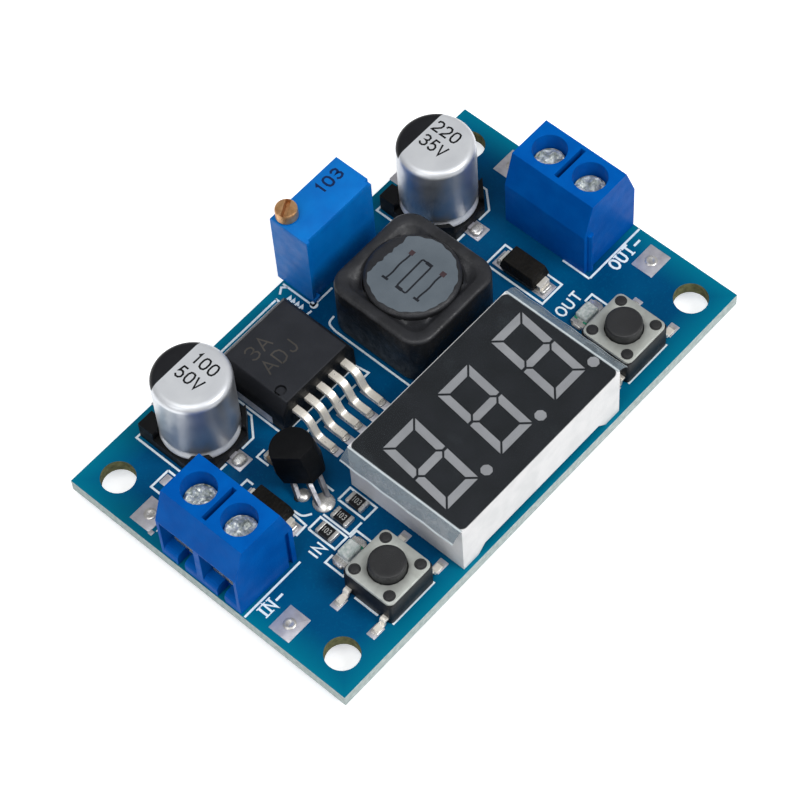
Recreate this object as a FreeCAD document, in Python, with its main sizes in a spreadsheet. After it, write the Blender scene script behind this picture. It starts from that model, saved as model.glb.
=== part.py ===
import FreeCAD, Part
import math
import os
import re
import Sketcher

# Buck converter module: a circuit board with two wire terminal blocks, a switching regulator,
# a shielded inductor, two electrolytic capacitors, a voltage trimmer, a three digit display and
# two push buttons. The origin is at the centre of the mounting holes on the board's underside,
# +X runs to the output end, +Y to the trimmer's edge and +Z up. All sizes are in millimetres.

SIZES = {
    # Circuit board
    "board_length": 57.0,
    "board_width": 35.2,
    "board_thickness": 1.6,
    "hole_diameter": 3.5,
    "hole_inset": 3.2,
    "lead_stub": 1.4,
    "lead_hole_clearance": 0.1,
    # Terminal blocks
    "block_pitch": 5.08,
    "block_depth": 7.6,
    "block_height": 10.0,
    "block_front_height": 6.2,
    "block_back_height": 6.0,
    "block_front_slope": 1.3,
    "block_back_slope": 1.2,
    "block_edge_gap": 0.1,
    "block_shift": 0.45,
    "block_notch_width": 0.9,
    "block_notch_depth": 1.5,
    "block_lip_radius": 0.7,
    "window_width": 4.3,
    "window_floor": 1.6,
    "window_top": 6.0,
    "well_diameter": 3.5,
    "screw_setback": 3.75,
    "block_slot_length": 4.1,
    "block_slot_width": 0.55,
    "block_slot_depth": 2.0,
    "block_groove_width": 0.5,
    "block_groove_depth": 0.4,
    "block_groove_setback": 6.8,
    "block_rail_radius": 0.35,
    # Contacts, pressure plates and screws inside a terminal block
    "contact_front": 1.2,
    "contact_length": 4.4,
    "contact_height": 3.8,
    "contact_side_gap": 0.2,
    "contact_metal": 0.5,
    "thread_plate": 0.9,
    "contact_pin_diameter": 1.1,
    "chamber_gap": 0.3,
    "guard_metal": 0.4,
    "guard_lip_height": 1.7,
    "guard_gap": 0.3,
    "screw_diameter": 2.5,
    "screw_head_diameter": 3.2,
    "screw_head_height": 1.2,
    "screw_fit": 0.05,
    "screw_slot_width": 0.6,
    "screw_slot_depth": 0.6,
    "screw_cross_length": 2.0,
    # Electrolytic capacitors
    "can_diameter": 8.0,
    "can_top": 10.3,
    "can_rounding": 0.5,
    "can_bead_height": 0.5,
    "can_groove_width": 0.44,
    "can_groove_depth": 0.12,
    "can_base_side": 8.3,
    "can_base_chamfer": 2.0,
    "can_base_thickness": 0.9,
    "can_base_post_height": 1.1,
    "can_base_post_side": 1.9,
    "can_base_fit": 0.05,
    "can_setback": 5.8,
    # Shares of the clear length in the row hole, can, regulator, inductor, can, hole
    "input_can_share": 0.3494,
    "mould_share": 0.1024,
    "inductor_share": 0.2229,
    "output_can_share": 0.1506,
    "tab_width": 0.9,
    "tab_thickness": 0.3,
    "tab_start": 1.2,
    "tab_overhang": 0.75,
    # Shielded inductor
    "inductor_side": 12.1,
    "inductor_corner": 1.8,
    "inductor_shield_top": 7.0,
    "inductor_bore": 10.3,
    "inductor_pocket_diameter": 1.6,
    "inductor_pocket_depth": 1.5,
    "inductor_y": 4.8,
    "inductor_clip_thickness": 0.3,
    "inductor_clip_length": 2.4,
    "inductor_clip_width": 5.0,
    "drum_diameter": 9.6,
    "drum_core_diameter": 4.6,
    "drum_flange": 1.4,
    "drum_height": 7.1,
    "winding_diameter": 8.8,
    # Switching regulator
    "mould_length": 10.1,
    "mould_depth": 9.2,
    "mould_height": 4.5,
    "mould_waist": 2.9,
    "mould_side_draft": 0.85,
    "mould_front_draft": 0.1,
    "mould_back_draft": 0.95,
    "mould_dimple_diameter": 1.1,
    "mould_dimple_depth": 0.15,
    "mould_dimple_inset": 1.5,
    "mould_setback": 2.9,
    "tab_plate_thickness": 1.3,
    "tab_plate_overhang": 0.9,
    "tab_plate_cover": 7.6,
    "lead_pitch": 1.7,
    "lead_count": 5,
    "lead_width": 0.8,
    "lead_thickness": 0.5,
    "lead_exit_height": 2.3,
    "lead_shoulder": 1.2,
    "lead_bend": 1.0,
    "lead_foot": 2.4,
    # Voltage trimmer
    "trimmer_length": 9.5,
    "trimmer_depth": 4.83,
    "trimmer_height": 10.1,
    "trimmer_wall": 0.35,
    "trimmer_roof": 0.8,
    "trimmer_overhang": 0.7,
    "trimmer_offset": 0.5,
    "trimmer_base_thickness": 1.2,
    "trimmer_element_thickness": 0.6,
    "trimmer_element_gap": 0.4,
    "trimmer_screw_end_gap": 1.25,
    "trimmer_screw_side_gap": 1.13,
    "trimmer_head_diameter": 2.26,
    "trimmer_head_height": 1.3,
    "trimmer_head_gap": 0.1,
    "trimmer_head_slot": 0.5,
    "trimmer_head_slot_depth": 0.7,
    "trimmer_stem_diameter": 1.0,
    "trimmer_stem_fit": 0.05,
    "trimmer_stem_tip_gap": 0.3,
    "trimmer_carriage_height": 1.6,
    "trimmer_carriage_length": 6.4,
    "trimmer_carriage_fit": 0.1,
    "trimmer_carriage_gap": 0.3,
    "trimmer_step_length": 0.8,
    "trimmer_step_depth": 0.5,
    "trimmer_pin_diameter": 0.6,
    "trimmer_pin_pitch": 2.54,
    # Three digit display
    "display_length": 22.5,
    "display_width": 14.1,
    "display_height": 7.0,
    "display_setback": 0.4,
    "display_wall": 0.9,
    "display_recess": 2.0,
    "display_notch_length": 18.4,
    "display_notch_height": 1.0,
    "display_board_thickness": 1.0,
    "display_board_gap": 0.1,
    "display_pin_side": 0.45,
    "display_pin_pitch": 2.54,
    "display_pin_columns": 6,
    "display_pin_rows_apart": 10.16,
    "display_pin_head": 0.3,
    "digit_pitch": 7.65,
    "digit_shift": 0.05,
    "digit_height": 8.85,
    "digit_width": 4.45,
    "digit_slope": 0.115,
    "segment_width": 0.85,
    "segment_gap": 0.32,
    "point_diameter": 1.1,
    "point_offset": 2.8,
    "film_thickness": 0.1,
    "film_overhang": 1.25,
    "film_droop": 0.35,
    "film_inset": 0.1,
    # Push buttons
    "switch_side": 6.0,
    "switch_height": 3.5,
    "switch_cover_thickness": 0.3,
    "switch_cover_inset": 0.05,
    "switch_cover_corner": 0.5,
    "switch_floor": 0.8,
    "switch_cavity_diameter": 4.8,
    "switch_post_diameter": 0.9,
    "switch_post_spacing": 4.3,
    "switch_post_height": 0.1,
    "switch_setback": 4.65,
    # Shares of the clear length in the row hole, switch, display, switch, hole
    "input_switch_share": 0.2803,
    "display_share": 0.1742,
    "output_switch_share": 0.197,
    "button_diameter": 3.5,
    "button_fit": 0.08,
    "button_height": 0.8,
    "button_bevel": 0.35,
    "button_flange_diameter": 4.2,
    "button_flange_thickness": 0.5,
    "button_flange_gap": 0.3,
    "button_dome_gap": 0.3,
    "button_foot_diameter": 2.0,
    "dome_length": 3.9,
    "dome_width": 1.6,
    "dome_height": 0.45,
    "dome_thickness": 0.1,
    "switch_lead_width": 0.7,
    "switch_lead_thickness": 0.25,
    "switch_lead_spacing": 4.56,
    "switch_lead_reach": 1.5,
    "switch_lead_shoulder": 0.5,
    "switch_lead_height": 0.9,
    # Small linear regulator on three bent legs
    "pack_radius": 2.3,
    "pack_flat": 1.4,
    "pack_flat_direction": 225.0,
    "pack_height": 4.8,
    "pack_lift": 2.0,
    "pack_lean": 10.0,
    # Share of the clear length between the input diode and the regulator's leads
    "pack_share": 0.4,
    "pack_y": 0.5,
    "pack_leg_width": 0.45,
    "pack_leg_pitch": 0.9,
    "pack_leg_bend_height": 0.3,
    "pack_hole_diameter": 0.8,
    "pack_hole_pitch": 1.2,
    "pack_hole_reach": 2.9,
    "pack_hole_shift": -1.1,
    # Diodes
    "diode_length": 4.3,
    "diode_width": 2.6,
    "diode_height": 2.2,
    "diode_draft": 0.25,
    "diode_lift": 0.15,
    "diode_terminal_width": 1.4,
    "diode_terminal_thickness": 0.15,
    "diode_terminal_height": 1.1,
    "diode_terminal_reach": 0.5,
    "diode_terminal_foot": 1.2,
    "input_diode_gap": 0.6,
    "input_diode_y": 0.6,
    "output_diode_gap": 2.55,
    "output_diode_y": -0.2,
    # Chip parts and indicator lights
    "chip_length": 2.0,
    "chip_width": 1.25,
    "chip_height": 0.55,
    "chip_row_gap": 0.575,
    "chip_row_pitch": 2.1,
    # Share of the clear width between the light and the small regulator's legs
    "chip_row_share": 0.485,
    "chip_capacitor_height": 0.9,
    "chip_capacitor_offset": 0.1,
    "chip_capacitor_y": 4.1,
    "light_length": 3.2,
    "light_width": 1.6,
    "light_base_height": 0.5,
    "light_lens_length": 2.0,
    "light_height": 1.1,
    "light_lens_draft": 0.2,
    "light_setback": 9.6,
    "light_inset": 11.3,
    # Microcontroller and chip parts on the underside
    "chip_body_length": 6.5,
    "chip_body_width": 4.4,
    "chip_body_height": 0.95,
    "chip_body_lift": 0.1,
    "chip_lead_pitch": 0.65,
    "chip_lead_count": 10,
    "chip_lead_width": 0.22,
    "chip_lead_thickness": 0.12,
    "chip_lead_reach": 1.0,
    "chip_lead_foot": 0.6,
    "under_row_gap": 1.6,
    "under_row_pitch": 2.2,
    "under_row_count": 3,
}

doc = FreeCAD.newDocument("BuckConverterModule")
sheet = doc.addObject("Spreadsheet::Sheet", "Sizes")
for row, (name, value) in enumerate(SIZES.items(), start=1):
    sheet.set("A%d" % row, name)
    sheet.set("B%d" % row, str(value))
    sheet.setAlias("B%d" % row, name)
doc.recompute()

parts = []


# Helpers

def size(name):
    """The present value of one named size."""
    return float(sheet.get(name))


def named(expression):
    """An expression with its size names pointed at the sheet."""
    return re.sub(r"[a-z][a-z_]*",
                  lambda word: "Sizes." + word.group() if word.group() in SIZES else word.group(),
                  str(expression))


def bind(thing, prop, expression):
    thing.setExpression(prop, named(expression))


def new_part(label, x="0", y="0", z="0", turn=0.0):
    """A named piece whose own origin sits at x, y, z, turned about the vertical."""
    body = doc.addObject("PartDesign::Body", label)
    body.Label = label
    body.Placement = FreeCAD.Placement(FreeCAD.Vector(0, 0, 0),
                                       FreeCAD.Rotation(FreeCAD.Vector(0, 0, 1), turn))
    bind(body, "Placement.Base.x", x)
    bind(body, "Placement.Base.y", y)
    bind(body, "Placement.Base.z", z)
    parts.append(body)
    return body


def origin_part(body, role):
    """One of the body's own planes or axes."""
    return [item for item in body.Origin.OriginFeatures if item.Role == role][0]


def rectangle(x_low, x_high, y_low, y_high):
    return [(x_low, y_low), (x_high, y_low), (x_high, y_high), (x_low, y_high)]


def block(x, y, x_size, y_size):
    """A rectangle about the centre x, y."""
    return rectangle("(%s)-(%s)/2" % (x, x_size), "(%s)+(%s)/2" % (x, x_size),
                     "(%s)-(%s)/2" % (y, y_size), "(%s)+(%s)/2" % (y, y_size))


def circle(x, y, diameter):
    return {"x": x, "y": y, "diameter": diameter}


def eight_sided(x, y, across):
    """An eight sided outline for small pins, posts and holes, across its flats."""
    radius = "(%s)/2/cos(22.5 deg)" % across
    return [("%s+%s*cos(%g deg)" % (x, radius, angle), "%s+%s*sin(%g deg)" % (y, radius, angle))
            for angle in (22.5, 67.5, 112.5, 157.5, 202.5, 247.5, 292.5, 337.5)]


def fix_point(sketch, geometry, position, x, y):
    """Hold one point of the sketch at x, y."""
    for kind, value in (("DistanceX", x), ("DistanceY", y)):
        index = sketch.addConstraint(Sketcher.Constraint(kind, -1, 1, geometry, position, 1.0))
        bind(sketch, "Constraints[%d]" % index, value)


def draw(sketch, outline):
    """Draw a circle or a closed outline of straight lines."""
    first = sketch.GeometryCount
    if isinstance(outline, dict):
        sketch.addGeometry(Part.Circle(FreeCAD.Vector(1, 1, 0), FreeCAD.Vector(0, 0, 1), 1.0), False)
        fix_point(sketch, first, 3, outline["x"], outline["y"])
        index = sketch.addConstraint(Sketcher.Constraint("Diameter", first, 2.0))
        bind(sketch, "Constraints[%d]" % index, outline["diameter"])
        return
    count = len(outline)
    corners = []
    for number in range(count):
        angle = 2 * math.pi * (number + 0.3) / count
        corners.append(FreeCAD.Vector(3 * math.cos(angle), 3 * math.sin(angle), 0))
    for number in range(count):
        sketch.addGeometry(Part.LineSegment(corners[number], corners[(number + 1) % count]), False)
    for number in range(count):
        sketch.addConstraint(Sketcher.Constraint("Coincident", first + number, 2,
                                                 first + (number + 1) % count, 1))
    for number, (x, y) in enumerate(outline):
        fix_point(sketch, first + number, 1, x, y)


def sketch_on(body, plane, outlines, offset="0"):
    """A sketch with the outlines, offset from one of the body's planes."""
    sketch = body.newObject("Sketcher::SketchObject", body.Name + "Sketch")
    sketch.AttachmentSupport = [(origin_part(body, plane + "_Plane"), "")]
    sketch.MapMode = "FlatFace"
    bind(sketch, "AttachmentOffset.Base.z", offset)
    for outline in outlines:
        draw(sketch, outline)
    return sketch


def add(body, plane, outlines, low, high):
    """Material between low and high, square to the plane."""
    start = "-(%s)" % high if plane == "XZ" else low
    pad = body.newObject("PartDesign::Pad", body.Name + "Pad")
    pad.Profile = sketch_on(body, plane, outlines, start)
    bind(pad, "Length", "(%s)-(%s)" % (high, low))
    body.Tip = pad
    return pad


def take(body, plane, outlines, low, high):
    """A cut between low and high, square to the plane."""
    start = "-(%s)" % low if plane == "XZ" else high
    pocket = body.newObject("PartDesign::Pocket", body.Name + "Pocket")
    pocket.Profile = sketch_on(body, plane, outlines, start)
    bind(pocket, "Length", "(%s)-(%s)" % (high, low))
    body.Tip = pocket
    return pocket


def turn(body, outline):
    """A piece turned about its vertical axis from radius and height points."""
    sketch = sketch_on(body, "XZ", [outline])
    revolution = body.newObject("PartDesign::Revolution", body.Name + "Turned")
    revolution.Profile = sketch
    revolution.ReferenceAxis = (sketch, ["V_Axis"])
    revolution.Angle = 360.0
    body.Tip = revolution
    return revolution


def loft(body, sections):
    """Straight sided material through outlines at rising heights."""
    sketches = [sketch_on(body, "XY", [outline], height) for height, outline in sections]
    lofted = body.newObject("PartDesign::AdditiveLoft", body.Name + "Loft")
    lofted.Profile = sketches[0]
    lofted.Sections = sketches[1:]
    lofted.Ruled = True
    body.Tip = lofted
    return lofted


def repeat(body, feature, axis, step, count):
    """Copies of a feature in a row along one of the body's axes."""
    pattern = body.newObject("PartDesign::LinearPattern", body.Name + "Row")
    pattern.Originals = [feature]
    pattern.Direction = (origin_part(body, axis + "_Axis"), [""])
    bind(pattern, "Length", "(%s)*((%s)-1)" % (step, count))
    bind(pattern, "Occurrences", count)
    body.Tip = pattern
    return pattern


def dress(body, kind, amount, picked):
    """A fillet or chamfer on the edges that picked says yes to."""
    doc.recompute()
    base = body.Tip
    edges = ["Edge%d" % number for number, edge in enumerate(base.Shape.Edges, start=1)
             if picked(edge.BoundBox, base.Shape.BoundBox)]
    feature = body.newObject("PartDesign::" + kind, body.Name + kind)
    feature.Base = (base, edges)
    bind(feature, "Radius" if kind == "Fillet" else "Size", amount)
    body.Tip = feature
    return feature


def upright(edge, whole):
    """Corner edges that run the full height of the piece."""
    return abs(edge.ZLength - whole.ZLength) < 0.01 and edge.XLength + edge.YLength < 0.01


def top_rim(edge, whole):
    """Edges that lie in the piece's top face."""
    return edge.ZMin > whole.ZMax - 0.001


# Places on the board

LEFT = "-board_length/2"
RIGHT = "board_length/2"
NEAR = "-board_width/2"
FAR = "board_width/2"
TOP = "board_thickness"
STUB_END = "-(board_thickness+lead_stub)"
ENDS = {"input": (1, "(%s+block_edge_gap)" % LEFT), "output": (-1, "(%s-block_edge_gap)" % RIGHT)}
POLES = {"positive": 1, "negative": -1}

HOLE_ZONE = "(hole_inset+hole_diameter/2)"


def in_a_row(pieces):
    """Middles along X of pieces that share the board's clear length between the holes."""
    clear = "(board_length-2*%s-%s)" % (HOLE_ZONE, "-".join(length for length, share in pieces))
    reach = "%s+%s" % (LEFT, HOLE_ZONE)
    for length, share in pieces:
        reach += "+%s*%s" % (share, clear)
        yield "(%s+%s/2)" % (reach, length)
        reach += "+" + length


SWITCH_SPAN = "(switch_side+2*switch_lead_reach)"
INPUT_CAN_X, MOULD_X, INDUCTOR_X, OUTPUT_CAN_X = in_a_row([
    ("can_base_side", "input_can_share"), ("mould_length", "mould_share"),
    ("inductor_side", "inductor_share"), ("can_base_side", "output_can_share")])
INPUT_SWITCH_X, DISPLAY_X, OUTPUT_SWITCH_X = in_a_row([
    (SWITCH_SPAN, "input_switch_share"), ("display_length", "display_share"),
    (SWITCH_SPAN, "output_switch_share")])
CAN_X = {"input": INPUT_CAN_X, "output": OUTPUT_CAN_X}
CAN_Y = "(%s-can_setback)" % FAR
SWITCH_X = {"input": INPUT_SWITCH_X, "output": OUTPUT_SWITCH_X}
SWITCH_Y = "(%s+switch_setback)" % NEAR
LIGHT_X = {"input": "(%s+light_inset)" % LEFT, "output": "(%s-light_inset)" % RIGHT}
LIGHT_Y = "(%s+light_setback)" % NEAR
BLOCK_ZONE = "(block_edge_gap+block_depth)"
DIODE_X = {"input": "(%s+%s+input_diode_gap+diode_width/2)" % (LEFT, BLOCK_ZONE),
           "output": "(%s-%s-output_diode_gap-diode_width/2)" % (RIGHT, BLOCK_ZONE)}
DIODE_Y = {"input": "input_diode_y", "output": "output_diode_y"}
MOULD_Y = "(%s-mould_setback-mould_depth/2)" % FAR
TRIMMER_X = "(%s-trimmer_offset)" % INDUCTOR_X
TRIMMER_Y = "(%s+trimmer_overhang-trimmer_depth/2)" % FAR
DISPLAY_Y = "(%s+display_setback+display_width/2)" % NEAR
PACK_LOW = "(%s+diode_width/2)" % DIODE_X["input"]
PACK_HIGH = "(%s-(lead_pitch*(lead_count-1)+lead_width)/2)" % MOULD_X
PACK_X = "(%s+pack_radius+pack_share*(%s-%s-2*pack_radius))" % (PACK_LOW, PACK_HIGH, PACK_LOW)
LEG_LOW = "(pack_y-pack_hole_reach-pack_leg_width/2)"
LIGHT_HIGH = "(%s+light_width/2)" % LIGHT_Y
CHIP_ROW_Y = "(%s+chip_length/2+chip_row_share*(%s-%s-chip_length))" % (LIGHT_HIGH, LEG_LOW, LIGHT_HIGH)


def block_pins():
    """Board positions of the terminal block pins."""
    for end, (way, face) in ENDS.items():
        for side in POLES.values():
            yield ("%s+%d*screw_setback" % (face, way), "block_shift+%d*block_pitch/2" % side)


def trimmer_pins():
    for place in (-1, 0, 1):
        yield ("%s+%d*trimmer_pin_pitch" % (TRIMMER_X, place), TRIMMER_Y)


def pack_holes():
    """Board positions of the small regulator's legs: two side by side and one behind."""
    for along, across in ((0, 0), (1, 0), (-0.5, 1.8)):
        yield ("%s+pack_hole_shift+(%g)*pack_hole_pitch" % (PACK_X, along),
               "pack_y-pack_hole_reach+%g*pack_hole_pitch" % across)


# Circuit board

def make_board():
    pcb = new_part("pcb")
    add(pcb, "XY", [rectangle(LEFT, RIGHT, NEAR, FAR)], "0", TOP)
    corners = []
    for along in (-1, 1):
        for across in (-1, 1):
            corners.append(circle("%d*(board_length/2-hole_inset)" % along,
                                  "%d*(board_width/2-hole_inset)" % across, "hole_diameter"))
    take(pcb, "XY", corners, "0", TOP)
    holes = [eight_sided(x, y, "contact_pin_diameter+2*lead_hole_clearance") for x, y in block_pins()]
    holes += [eight_sided(x, y, "trimmer_pin_diameter+2*lead_hole_clearance")
              for x, y in trimmer_pins()]
    holes += [eight_sided(x, y, "pack_hole_diameter") for x, y in pack_holes()]
    take(pcb, "XY", holes, "0", TOP)
    for row in (-1, 1):
        place = ("%s-display_pin_pitch*(display_pin_columns-1)/2" % DISPLAY_X,
                 "%s+%d*display_pin_rows_apart/2" % (DISPLAY_Y, row))
        hole = take(pcb, "XY", [eight_sided(*place, "sqrt(2)*display_pin_side+2*lead_hole_clearance")],
                    "0", TOP)
        repeat(pcb, hole, "X", "display_pin_pitch", "display_pin_columns")


# Terminal blocks

CONTACT_TOP = "(window_floor+contact_height)"
CONTACT_BACK = "(contact_front+contact_length)"
CHAMBER_BACK = "(contact_front+contact_length+chamber_gap)"
CONTACT_WIDTH = "(window_width-2*contact_side_gap)"
GUARD_LOW = "(window_floor+contact_metal+guard_gap)"
GUARD_TOP = "(window_floor+contact_metal+guard_gap+guard_metal)"
GUARD_FRONT = "(contact_front+guard_gap)"
HEAD_LOW = "(window_floor+contact_height+guard_gap)"
HEAD_TOP = "(window_floor+contact_height+guard_gap+screw_head_height)"


def at_block(label, end):
    way, face = ENDS[end]
    return new_part(label, face, "block_shift", TOP, 0.0 if way > 0 else 180.0)


def make_terminal_housing(end):
    housing = at_block(end + "_terminal_housing", end)
    add(housing, "XZ", [[("0", "0"), ("block_depth", "0"), ("block_depth", "block_back_height"),
                         ("block_depth-block_back_slope", "block_height"),
                         ("block_front_slope", "block_height"), ("0", "block_front_height")]],
        "-block_pitch", "block_pitch")
    add(housing, "XY", [eight_sided("block_groove_setback", "block_pitch", "2*block_rail_radius")],
        "0", "block_back_height")
    take(housing, "XY", [rectangle("block_groove_setback-block_groove_width/2",
                                   "block_groove_setback+block_groove_width/2",
                                   "-block_pitch", "block_groove_depth-block_pitch")],
         "0", "block_back_height")
    middles = ["%d*block_pitch/2" % side for side in (-1, 1)]
    take(housing, "XY", [rectangle("0", CHAMBER_BACK, "%s-window_width/2" % middle,
                                   "%s+window_width/2" % middle) for middle in middles],
         "window_floor", "window_top")
    take(housing, "XY", [circle("screw_setback", middle, "well_diameter") for middle in middles],
         "window_top-contact_metal", "block_height")
    take(housing, "XY", [rectangle("0", "block_notch_depth", "%s-block_notch_width/2" % middle,
                                   "%s+block_notch_width/2" % middle) for middle in middles],
         "0", "window_floor+contact_metal")
    take(housing, "XY", [eight_sided("screw_setback", middle,
                                     "contact_pin_diameter+2*lead_hole_clearance")
                         for middle in middles], "0", "window_floor+contact_metal")
    take(housing, "XY", [block("screw_setback", "0", "block_slot_length", "block_slot_width")],
         "block_height-block_slot_depth", "block_height")
    lip = [("0", "window_floor")] + [
        ("block_lip_radius*(1-cos(%g deg))" % angle, "window_floor-block_lip_radius*(1-sin(%g deg))" % angle)
        for angle in (0, 22.5, 45, 67.5, 90)]
    for middle in middles:
        take(housing, "XZ", [lip], "%s-window_width/2" % middle, "%s+window_width/2" % middle)


def make_terminal_contacts(end):
    """Bent contacts: a floor, a back and a threaded top, with a pin to the board."""
    contacts = at_block(end + "_terminal_contacts", end)
    for side in (-1, 1):
        middle = "%d*block_pitch/2" % side
        low = "%s-%s/2" % (middle, CONTACT_WIDTH)
        high = "%s+%s/2" % (middle, CONTACT_WIDTH)
        thread_low = "%s-thread_plate" % CONTACT_TOP
        thread_front = "%s+guard_metal+guard_gap" % GUARD_FRONT
        add(contacts, "XZ", [[("contact_front", "window_floor"), (CONTACT_BACK, "window_floor"),
                              (CONTACT_BACK, CONTACT_TOP), (thread_front, CONTACT_TOP),
                              (thread_front, thread_low),
                              ("%s-contact_metal" % CONTACT_BACK, thread_low),
                              ("%s-contact_metal" % CONTACT_BACK, "window_floor+contact_metal"),
                              ("contact_front", "window_floor+contact_metal")]], low, high)
        take(contacts, "XY", [circle("screw_setback", middle, "screw_diameter+2*screw_fit")],
             thread_low, CONTACT_TOP)
        add(contacts, "XY", [eight_sided("screw_setback", middle, "contact_pin_diameter")],
            STUB_END, "window_floor")


def make_pressure_plate(end, pole):
    """The bent guard under a screw that presses a wire down."""
    plate = at_block("%s_pressure_plate_%s" % (end, pole), end)
    side = POLES[pole] * ENDS[end][0]
    middle = "%d*block_pitch/2" % side
    half = "(window_width/2-chamber_gap)"
    back = "(%s-contact_metal-guard_gap)" % CONTACT_BACK
    lip = "(%s+guard_metal)" % GUARD_FRONT
    add(plate, "XZ", [[(GUARD_FRONT, GUARD_LOW), (back, GUARD_LOW), (back, GUARD_TOP),
                       (lip, GUARD_TOP), (lip, "%s+guard_lip_height" % GUARD_LOW),
                       (GUARD_FRONT, "%s+guard_lip_height" % GUARD_LOW)]],
        "%s-%s" % (middle, half), "%s+%s" % (middle, half))


def make_terminal_screw(end, pole):
    way, face = ENDS[end]
    screw = new_part("%s_screw_%s" % (end, pole), "%s+%d*screw_setback" % (face, way),
                     "block_shift+%d*block_pitch/2" % POLES[pole], TOP)
    tip = "%s+screw_fit" % GUARD_TOP
    turn(screw, [("0", tip), ("screw_diameter/2", tip), ("screw_diameter/2", HEAD_LOW),
                 ("screw_head_diameter/2", HEAD_LOW), ("screw_head_diameter/2", HEAD_TOP),
                 ("0", HEAD_TOP)])
    take(screw, "XY", [block("0", "0", "screw_head_diameter+1", "screw_slot_width")],
         "%s-screw_slot_depth" % HEAD_TOP, HEAD_TOP)
    take(screw, "XY", [block("0", "0", "screw_slot_width", "screw_cross_length")],
         "%s-screw_slot_depth" % HEAD_TOP, HEAD_TOP)


# Electrolytic capacitors

CAN_FLOOR = "(tab_thickness+can_base_thickness)"


def make_capacitor(end):
    x = CAN_X[end]
    can = new_part(end + "_capacitor_can", x, CAN_Y, TOP)
    radius = "can_diameter/2"
    waist = "(%s-can_groove_depth)" % radius
    groove = "(%s+can_bead_height)" % CAN_FLOOR
    rim = [("%s-can_rounding*(1-cos(%g deg))" % (radius, angle),
            "can_top-can_rounding*(1-sin(%g deg))" % angle) for angle in (0, 45, 90)]
    turn(can, [("0", CAN_FLOOR), (waist, CAN_FLOOR), (radius, "%s+can_groove_depth" % CAN_FLOOR),
               (radius, groove), (waist, "%s+can_groove_width/2" % groove),
               (radius, "%s+can_groove_width" % groove)]
         + rim + [("0", "can_top")])

    base = new_part(end + "_capacitor_base", x, CAN_Y, TOP)
    half = "can_base_side/2"
    add(base, "XY", [[("-%s" % half, half), ("-%s" % half, "can_base_chamfer-%s" % half),
                      ("can_base_chamfer-%s" % half, "-%s" % half),
                      ("%s-can_base_chamfer" % half, "-%s" % half),
                      (half, "can_base_chamfer-%s" % half), (half, half)]],
        "0", "%s+can_base_post_height" % CAN_FLOOR)
    take(base, "XY", [circle("0", "0", "can_diameter+2*can_base_fit")],
         CAN_FLOOR, "%s+can_base_post_height" % CAN_FLOOR)
    gap = "(can_base_side-2*can_base_post_side)"
    take(base, "XY", [block("0", "0", gap, "can_base_side")],
         CAN_FLOOR, "%s+can_base_post_height" % CAN_FLOOR)
    take(base, "XY", [block("0", "0", "can_base_side", gap)],
         CAN_FLOOR, "%s+can_base_post_height" % CAN_FLOOR)
    take(base, "XY", [block("0", "0", "tab_width", "can_base_side")], "0", "tab_thickness")

    tabs = new_part(end + "_capacitor_tabs", x, CAN_Y, TOP)
    outer = "(%s+tab_overhang)" % half
    add(tabs, "XY", [rectangle("-tab_width/2", "tab_width/2", "tab_start", outer)],
        "0", "tab_thickness")
    add(tabs, "XY", [rectangle("-tab_width/2", "tab_width/2", "-%s" % outer, "-tab_start")],
        "0", "tab_thickness")


# Shielded inductor

def make_inductor():
    def piece(label):
        return new_part(label, INDUCTOR_X, "inductor_y", TOP)

    shield = piece("inductor_shield")
    add(shield, "XY", [block("0", "0", "inductor_side", "inductor_side")],
        "inductor_clip_thickness", "inductor_shield_top")
    dress(shield, "Fillet", "inductor_corner", upright)
    take(shield, "XY", [circle("0", "0", "inductor_bore")],
         "inductor_clip_thickness", "inductor_shield_top")
    pockets = []
    for along in (-1, 1):
        for across in (-1, 1):
            pockets.append(eight_sided("%d*inductor_bore/2*cos(45 deg)" % along,
                                       "%d*inductor_bore/2*sin(45 deg)" % across,
                                       "inductor_pocket_diameter"))
    take(shield, "XY", pockets, "inductor_shield_top-inductor_pocket_depth", "inductor_shield_top")

    drum = piece("inductor_drum")
    low = "inductor_clip_thickness"
    high = "(inductor_clip_thickness+drum_height)"
    turn(drum, [("0", low), ("drum_diameter/2", low), ("drum_diameter/2", low + "+drum_flange"),
                ("drum_core_diameter/2", low + "+drum_flange"),
                ("drum_core_diameter/2", high + "-drum_flange"),
                ("drum_diameter/2", high + "-drum_flange"), ("drum_diameter/2", high), ("0", high)])

    winding = piece("inductor_winding")
    turn(winding, [("drum_core_diameter/2", low + "+drum_flange"),
                   ("winding_diameter/2", low + "+drum_flange"),
                   ("winding_diameter/2", high + "-drum_flange"),
                   ("drum_core_diameter/2", high + "-drum_flange")])

    clips = piece("inductor_terminals")
    half = "inductor_side/2"
    for side in (-1, 1):
        outer = "%d*%s" % (side, half)
        inner = "%d*(%s-inductor_clip_length)" % (side, half)
        ends = (inner, outer) if side > 0 else (outer, inner)
        add(clips, "XY", [rectangle("-inductor_clip_width/2", "inductor_clip_width/2", *ends)],
            "0", "inductor_clip_thickness")


# Switching regulator

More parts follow.
